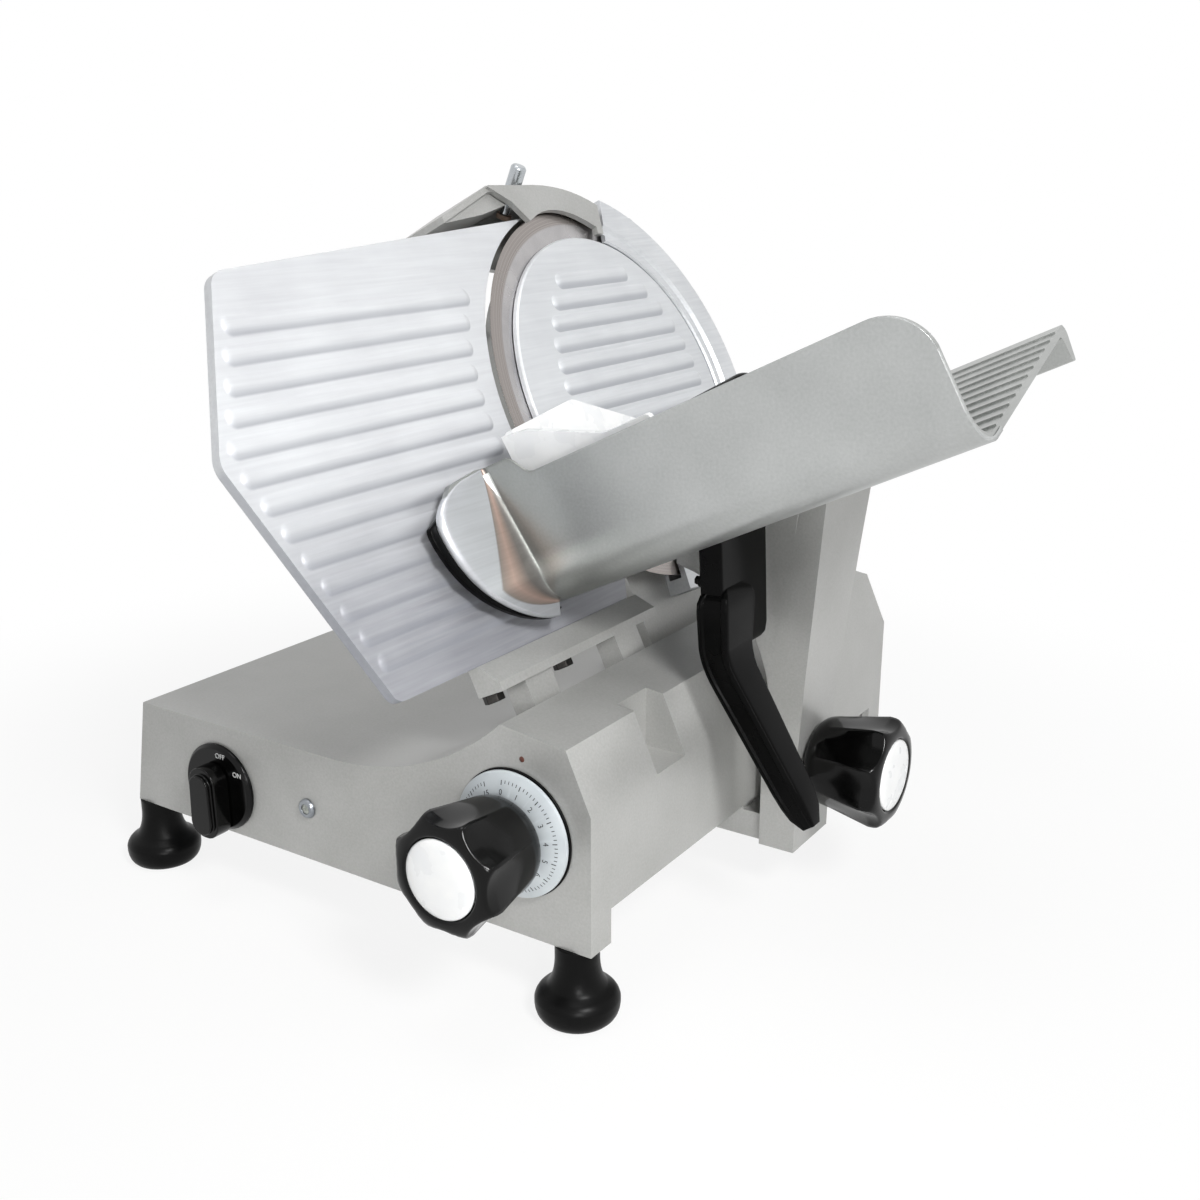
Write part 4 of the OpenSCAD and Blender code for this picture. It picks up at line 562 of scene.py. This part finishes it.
def tray_row(share, top):
    """Outer face of the tray at a share from the wall's top, 0, past the bend, 1, to the floor, 2."""
    if share <= 1:
        high = top + (BEND_RUN - top) * share
        return CORNER + UP_WALL * high + OUT_WALL * WALL_OUT, OUT_WALL, high - BEND_RUN
    if share <= 2:
        turn = FIRST_TURN + (LAST_TURN - FIRST_TURN) * (share - 1)
        way = Vector((math.cos(turn), math.sin(turn)))
        return BEND_MIDDLE + way * (BEND + WALL_OUT), way, -(turn - FIRST_TURN) * (BEND + WALL_OUT)
    along = BEND_RUN + (share - 2) * 10
    return CORNER + ALONG_FLOOR * along + UNDER_FLOOR * WALL_OUT, UNDER_FLOOR, -40.0


def tray_column(share, outline):
    """One line of the skin from the flange's edge to the tray's end: offset, n, fold and run."""
    start, way, _ = tray_row(share, EAR_H)
    reach = reach_to(outline, start, way)
    full = min(1.0, reach / RUN_OUT)
    face_n = FLANGE_N - FLANGE_DROP * (1 - full)
    widest = min(0.86 * reach, HOLLOW_TOP + HOLLOW_GROWTH * min(share, 1.0) ** 1.3)
    hollow = widest * (1 - 0.9 * soft((share - 1) / 0.8))
    step = 2.4 + 0.1 * hollow
    edge = reach + 0.2
    column = [(edge - TURN_IN * (1 - full), face_n - FLANGE_TH * full, 0.0, 0.0), (edge, face_n, 0.0, 0.0)]
    for i in range(1, FACE_STEPS):
        column.append((reach + (hollow - reach) * i / FACE_STEPS, face_n, 0.0, 0.0))
    for i in range(ARC_STEPS + 1):
        a = math.pi / 2 * i / ARC_STEPS
        column.append((hollow * (1 - math.sin(a)), face_n + step * (1 - math.cos(a)), math.sin(a), 0.0))
    first = face_n + step
    far_run = TRAY_END - NEAR_RUN - 5 - first - END_R
    stops = [first + NEAR_RUN * i / NEAR_STEPS for i in range(1, NEAR_STEPS + 1)]
    stops += [first + NEAR_RUN + far_run * i / FAR_STEPS for i in range(1, FAR_STEPS + 1)]
    for i in range(END_STEPS + 1):
        stops.append(TRAY_END - END_R + END_R * math.sin(math.pi / 2 * i / END_STEPS))
    column += [(0.0, n, 1.0, n - first) for n in stops]
    column.append((-TURN_IN, TRAY_END, 1.0, TRAY_END - first))
    return column


def tray_skin_mesh():
    """Rows run from the wall's top round the bend; columns from the flange's edge to the tray's end."""
    outline = flange_outline()
    shares = [soft(i / WALL_ROWS) * 0.5 + 0.5 * i / WALL_ROWS for i in range(WALL_ROWS + 1)]
    shares += [1 + (i + 1) / BEND_ROWS for i in range(BEND_ROWS)] + [2.5, 3.0]
    grid = [[(share, *point) for point in tray_column(share, outline)] for share in shares]
    # The top is closed by a row that drops behind the faces, and the floor's edge by one that goes up
    top = []
    for share, d, n, fold, run in grid[0]:
        back = max(0.0, min(d, n - FLANGE_N)) + 1.6
        top.append((share, d - back, n - back, fold, run))
    end = [(share, d - 1.5, n, fold, run) for share, d, n, fold, run in grid[-1]]
    grid = [top] + grid + [end]
    points, values = [], []
    for line in grid:
        for share, d, n, fold, run in line:
            start, way, rise = tray_row(share, wall_top(n))
            place = start + way * d
            points.append(on_slope(place.x, place.y, n))
            values.append((fold, run, rise))
    wide = len(grid[0])
    faces = []
    for i in range(len(grid) - 1):
        for j in range(wide - 1):
            faces.append((i * wide + j, i * wide + j + 1, (i + 1) * wide + j + 1, (i + 1) * wide + j))
    mesh = bpy.data.meshes.new("tray_skin")
    mesh.from_pydata(points, [], faces)
    for k, name in enumerate(("fold", "run", "rise")):
        layer = mesh.attributes.new(name, "FLOAT", "POINT")
        layer.data.foreach_set("value", [v[k] for v in values])
    mesh.shade_smooth()
    return mesh


new_piece("tray_skin", tray_skin_mesh(), linished_aluminium, "carriage")


# The strip starts at this point of the flange's outline, and its sides lie so far out and in from there
STRIP_FROM = 14
STRIP_OUT, STRIP_IN = Vector((-6.0, -2.5)), Vector((9.0, 4.0))
STRIP_BACK = 7.2


def edge_strip_mesh():
    """Moulded strip behind the flange's lower edge, which shows as a black lip."""
    edge = flange_outline()[STRIP_FROM:]
    outer = [p + STRIP_OUT * (1 - i / (len(edge) - 1)) for i, p in enumerate(edge)]
    inner = [p + STRIP_IN for p in edge]
    ring = outer + inner[::-1]
    points = [on_slope(p.x, p.y, n) for n in (STRIP_BACK, FLANGE_N - FLANGE_TH - 0.1) for p in ring]
    count = len(ring)
    half = len(outer)
    faces = [(i, (i + 1) % count, count + (i + 1) % count, count + i) for i in range(count)]
    for i in range(half - 1):
        a, b, c, d = i, i + 1, count - 2 - i, count - 1 - i
        faces += [(d, c, b, a), (count + a, count + b, count + c, count + d)]
    mesh = bpy.data.meshes.new("edge_strip")
    mesh.from_pydata(points, [], faces)
    return mesh


edge_strip = new_piece("edge_strip", edge_strip_mesh(), black_satin, "carriage")
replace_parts(edge_strip, "tray_guard")
round_edges(edge_strip, 1.2)

# Lobed knobs, whose flutes run out softly

KNOB_R = 32.0
CAP_R = 21.2
CAP_SEAT = 1.5
CORE_R = 6.0
BLACK_RIM = 2.2
LOBES = 8
FLUTE_R = 35.0
# Depth of the flutes at the back, how much deeper they are in front, and the width that melts into a lobe
FLUTE_BACK, FLUTE_FRONT = 2.5, 1.6
MELT = 0.9


def knob_radius(angle, share, reach):
    """Radius of the knob at an angle and a share of its length, with flutes that melt into the lobes."""
    step = 2 * math.pi / LOBES
    off = (angle + step / 2) % step - step / 2
    centre = KNOB_R + FLUTE_R - FLUTE_BACK - FLUTE_FRONT * share
    flute = centre * math.cos(off) - math.sqrt(FLUTE_R ** 2 - (centre * math.sin(off)) ** 2)
    blend = max(0.0, min(1.0, 0.5 + (reach - flute) / (2 * MELT)))
    return reach * (1 - blend) + flute * blend - MELT * blend * (1 - blend)


def lathe_mesh(name, profile, shape=None, turns=160):
    """Turns a profile of radius and height about Z; a shape may change the radius at an angle and height."""
    points = []
    for reach, z in profile:
        for i in range(turns):
            angle = 2 * math.pi * i / turns
            radius = shape(angle, z, reach) if shape else reach
            points.append(Vector((radius * math.cos(angle), radius * math.sin(angle), z)) * MM)
    faces = [tuple(range(turns))[::-1]]
    for row in range(len(profile) - 1):
        for i in range(turns):
            j = (i + 1) % turns
            faces.append((row * turns + i, row * turns + j, (row + 1) * turns + j, (row + 1) * turns + i))
    last = (len(profile) - 1) * turns
    faces.append(tuple(last + i for i in range(turns)))
    mesh = bpy.data.meshes.new(name)
    mesh.from_pydata(points, [], faces)
    mesh.shade_smooth()
    return mesh


def knob_and_cap(prefix, length, place, body):
    """Knob and white cap, drawn along Z from the knob's back face, in the stead of the plain ones."""
    back = bezier((20.5, 0), (26.5, 1.2), (KNOB_R - 4.5, 12), 6)
    front_r = KNOB_R + 1.8
    front = bezier((front_r, length - 10), (front_r, length - 0.6), (CAP_R + BLACK_RIM, length), 9)
    seat = length - CAP_SEAT
    rim = [(CAP_R + 1.4, length - 0.1), (CAP_R + 0.7, seat), (CORE_R, seat)]
    profile = [(CORE_R, 0.0)] + [tuple(p) for p in back + front] + rim

    def shape(angle, z, reach):
        """The flutes leave the seat of the cap alone."""
        return reach if reach < CAP_R + BLACK_RIM + 0.1 else knob_radius(angle, z / length, reach)

    knob = lathe_mesh(prefix + "_grip", profile, shape)
    top = bezier((CAP_R, length - 0.4), (CAP_R - 1.5, length + 1.4), (0.5, length + 1.5), 7)
    dome = [(CAP_R - 1, seat - 0.3), (CAP_R, seat)] + [tuple(p) for p in top]
    cap = lathe_mesh(prefix + "_disc", dome, turns=96)
    for mesh, material, slot, old in ((knob, black_gloss, "black_gloss_plastic", prefix + "_knob"),
                                      (cap, white_plastic, "white_plastic", prefix + "_cap")):
        mesh.transform(place)
        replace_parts(new_piece(mesh.name, mesh, material, body), old)


DIAL = Vector((127.0, -187.5, 102.0))
DIAL_BACK = -189.5
KNOB_BACK = -196.5
DIAL_KNOB, LOCK_KNOB = 53.0, 49.0
# From the lock cap's face back to the knob's back face
LOCK_DEPTH = 46.5 * MM
facing = Matrix.Translation(Vector((DIAL.x, KNOB_BACK, DIAL.z)) * MM) @ Matrix.Rotation(math.pi / 2, 4, "X")
knob_and_cap("dial", DIAL_KNOB, facing, "dial")

low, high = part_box("lock_cap")
lock_back = Vector((high.x - LOCK_DEPTH, (low.y + high.y) / 2, (low.z + high.z) / 2))
facing = Matrix.Translation(lock_back) @ Matrix.Rotation(math.pi / 2, 4, "Y")
knob_and_cap("lock", LOCK_KNOB, facing, "lock")

# Carriage handle: moulded grip with a sunk face, on a flat neck

HANDLE = Vector((167.1, -80.5, 233.8))
# Path of the grip from HANDLE, in x and z: its top, the bend and its end
GRIP_TOP, GRIP_END = Vector((12.6, -20.0)), Vector((69.5, -138.5))
BEND_TOP, BEND_PULL, BEND_END = Vector((14.8, -53.0)), Vector((16.4, -62.0)), Vector((22.6, -71.0))
GRIP_THICK, GRIP_TAPER = 20.5, 4.5
GRIP_DEPTH, DEPTH_TAPER = 36.0, 19.0
GRIP_ROUND, GRIP_SUNK = 2.6, 1.0
ROUND_ENDS = (0.5, 0.86, 0.97)
# The neck: its middle, thickness, rear, foot and how far that foot stands out
NECK_X, NECK_THICK, NECK_REAR, NECK_FOOT, NECK_OUT = 9.0, 14.0, 57.0, -58.0, 4.0
NECK_MIDDLE = 30.0
# Rows of the neck as shares of its height, each with its fullness
NECK_ROWS = ((0.0, 1.0), (0.5, 1.0), (0.9, 1.0), (0.97, 0.95), (1.0, 0.8))
# Slopes of the tray's underside, which the neck's top follows
UNDER_X, UNDER_Y = 0.48, 0.21


def tube_mesh(name, tubes):
    """One mesh of closed tubes, each a list of rings with the same number of points, in millimetres."""
    points, faces = [], []
    for rings in tubes:
        first, wide = len(points), len(rings[0])
        points += [Vector(p) * MM for ring in rings for p in ring]
        for i in range(len(rings) - 1):
            for j in range(wide):
                k = (j + 1) % wide
                a, b = first + i * wide, first + (i + 1) * wide
                faces.append((a + j, a + k, b + k, b + j))
        faces.append(tuple(first + j for j in range(wide))[::-1])
        faces.append(tuple(len(points) - wide + j for j in range(wide)))
    mesh = bpy.data.meshes.new(name)
    mesh.from_pydata(points, [], faces)
    return mesh


def bar_ring(thick, front, rear, r, sunk):
    """Section of a bar from front to rear in y, with round corners and a sunk front face."""
    t, k = thick / 2, 0.3 * r
    lip, step = t - r - 1.2, t - r - 2.0
    half = [(t - r, rear), (t - k, rear - k), (t, rear - r), (t, front + r), (t - k, front + k),
            (t - r, front), (lip, front), (step, front + sunk)]
    return half + [(-x, y) for x, y in half[::-1]]


def handle_mesh():
    """The grip's path runs down, bends and runs out; it narrows on the way and is round at both ends."""
    path = [GRIP_TOP.lerp(BEND_TOP, i / 8) for i in range(8)]
    path += bezier(BEND_TOP, BEND_PULL, BEND_END, 6)
    path += [BEND_END.lerp(GRIP_END, (i + 1) / 10) for i in range(11)]
    last = len(path) - 1
    rings = []
    for i, point in enumerate(path):
        way = (path[min(i + 1, last)] - path[max(i - 1, 0)]).normalized()
        share = i / last
        near_end = min(i, last - i)
        full = ROUND_ENDS[near_end] if near_end < len(ROUND_ENDS) else 1.0
        front, rear = HANDLE.y - 0.5, HANDLE.y + GRIP_DEPTH - DEPTH_TAPER * share ** 1.2
        middle = (front + rear) / 2
        ring = []
        for across, y in bar_ring(GRIP_THICK - GRIP_TAPER * share, front, rear, GRIP_ROUND, GRIP_SUNK):
            x = HANDLE.x + point.x - way.y * across * full
            z = HANDLE.z + point.y + way.x * across * full
            ring.append((x, middle + (y - middle) * full, z))
        rings.append(ring)
    neck = []
    middle = HANDLE.y + NECK_MIDDLE
    for low, full in NECK_ROWS:
        ring = []
        for across, y in bar_ring(NECK_THICK, HANDLE.y + 4, HANDLE.y + NECK_REAR, 2.0, 0.0):
            out = NECK_X + across * full
            top = UNDER_X * out + UNDER_Y * (y - HANDLE.y) - 0.6
            z = HANDLE.z + top + (NECK_FOOT - top) * low
            ring.append((HANDLE.x + out + NECK_OUT * low, middle + (y - middle) * full, z))
        neck.append(ring)
    return tube_mesh("handle_grip", [rings, neck])


handle = new_piece("handle_grip", handle_mesh(), black_satin, "carriage")
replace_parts(handle, "carriage_handle")
round_edges(handle, 0.5)


BOLT_AT = Vector((3.5, 9.0, -18.0))
HEAD_R, WASHER_R = 2.6, 3.6
WASHER_TOP, HEAD_TOP = 2.0, 4.6


def level_ring(radius, sides, z):
    """A regular outline at a height."""
    turns = [2 * math.pi * i / sides for i in range(sides)]
    return [(radius * math.cos(a), radius * math.sin(a), z) for a in turns]


def bolt_mesh():
    """Hexagon bolt with a washer, which holds the grip on its neck."""
    head = [level_ring(HEAD_R, 6, z) for z in (WASHER_TOP, HEAD_TOP)]
    washer = [level_ring(WASHER_R, 24, z) for z in (-WASHER_TOP, WASHER_TOP)]
    mesh = tube_mesh("handle_bolt", [head, washer])
    mesh.transform(Matrix.Translation((HANDLE + BOLT_AT) * MM) @ Matrix.Rotation(-math.pi / 2, 4, "Y"))
    return mesh


bolt = new_piece("handle_bolt", bolt_mesh(), black_rubber, "carriage")
round_edges(bolt, 0.4)


GUSSET_Y = (-11.2, -2.0)


def gusset_mesh():
    """Web between the column and the underside of the tray."""
    lower = bezier((184, 120), (179, 192), (118, 203), 10)
    outline = lower + [Vector((120, 230)), Vector((200, 267))]
    return tube_mesh("column_gusset", [[[(p.x, y, p.y) for p in outline] for y in GUSSET_Y]])


gusset = new_piece("column_gusset", gusset_mesh(), cast_aluminium, "carriage")
round_edges(gusset, 1.0)

# Print on the dial and the switch


INK = 0.04 * MM
BAR_CORNERS = ((-1, -1), (1, -1), (1, 1), (-1, 1))
BAR_FACES = [(3, 2, 1, 0), (4, 5, 6, 7), (0, 1, 5, 4), (1, 2, 6, 5), (2, 3, 7, 6), (3, 0, 4, 7)]


def print_mesh(name, marks):
    """One mesh of many marks: each is a word with its height in millimetres, or a bar's width and length."""
    built = bmesh.new()
    for mark, place in marks:
        if isinstance(mark[0], str):
            curve = bpy.data.curves.new("word", "FONT")
            curve.body, curve.size = mark[0], mark[1] * MM
            curve.align_x, curve.align_y = "CENTER", "CENTER"
            curve.extrude = INK
            word = bpy.data.objects.new("word", curve)
            part = bpy.data.meshes.new_from_object(word)
            bpy.data.objects.remove(word)
        else:
            part = bpy.data.meshes.new("bar")
            wide, long = mark[0] * MM / 2, mark[1] * MM / 2
            corners = [(x * wide, y * long, z) for z in (-INK, INK) for x, y in BAR_CORNERS]
            part.from_pydata(corners, [], BAR_FACES)
        part.transform(place)
        built.from_mesh(part)
        bpy.data.meshes.remove(part)
    mesh = bpy.data.meshes.new(name)
    built.to_mesh(mesh)
    built.free()
    return mesh


def facing_front(x, y, z):
    """Places a mark that faces the front, upright."""
    return Matrix.Translation(Vector((x, y, z)) * MM) @ Matrix.Rotation(math.pi / 2, 4, "X")


# The dial's face slopes from DIAL_RIM deep at DIAL_R, by DIAL_SLOPE to the middle
DIAL_R, DIAL_RIM, DIAL_SLOPE = 32.0, 3.5, 0.35
CONE = math.atan(DIAL_SLOPE)
FIRST_MARK = 97.0
STEP_DEG = 22.5
LAST_VALUE = 15
DIGIT_H, DIGIT_R = 4.2, 25.0
MARK_R = 31.0
LONG_MARK, SHORT_MARK = (0.5, 2.6), (0.4, 1.7)


def on_dial(angle, radius):
    """Places a mark on the dial's sloping face, its top turned outwards."""
    depth = DIAL_RIM + (DIAL_R - radius) * DIAL_SLOPE + 0.03
    a = math.radians(angle)
    place = Vector((DIAL.x + radius * math.cos(a), DIAL_BACK - depth, DIAL.z + radius * math.sin(a)))
    return (Matrix.Translation(place * MM) @ Matrix.Rotation(math.pi / 2, 4, "X")
            @ Matrix.Rotation(a - math.pi / 2, 4, "Z") @ Matrix.Rotation(-CONE, 4, "X"))


marks = []
for value in range(LAST_VALUE + 1):
    angle = FIRST_MARK - STEP_DEG * value
    marks.append(((str(value), DIGIT_H), on_dial(angle, DIGIT_R)))
    for fifth in range(5 if value < LAST_VALUE else 1):
        bar = SHORT_MARK if fifth else LONG_MARK
        marks.append((bar, on_dial(angle - STEP_DEG * fifth / 5, MARK_R - bar[1] / 2)))
new_piece("dial_numbers", print_mesh("dial_numbers", marks), black_ink, "dial")

SWITCH = Vector((-95.0, -191.53, 72.0))
WORD_H = 4.6
words = [(("OFF", WORD_H), facing_front(SWITCH.x + 5, SWITCH.y, SWITCH.z + 21.5)),
         (("ON", WORD_H), facing_front(SWITCH.x + 18.5, SWITCH.y, SWITCH.z + 12.5))]
new_piece("switch_words", print_mesh("switch_words", words), white_ink, "housing")

# Painted index above the dial, a flat drop of paint
DROP_AT = Vector((132.0, DIAL.y, 144.0))
DROP_R, DROP_FLAT = 1.6, 0.35
drop = bmesh.new()
bmesh.ops.create_uvsphere(drop, u_segments=20, v_segments=10, radius=DROP_R * MM)
drop_mesh = bpy.data.meshes.new("dial_index")
drop.to_mesh(drop_mesh)
drop.free()
drop_mesh.transform(Matrix.Translation(DROP_AT * MM) @ Matrix.Diagonal((1, DROP_FLAT, 1, 1)))
drop_mesh.shade_smooth()
new_piece("dial_index", drop_mesh, brown_paint, "housing")
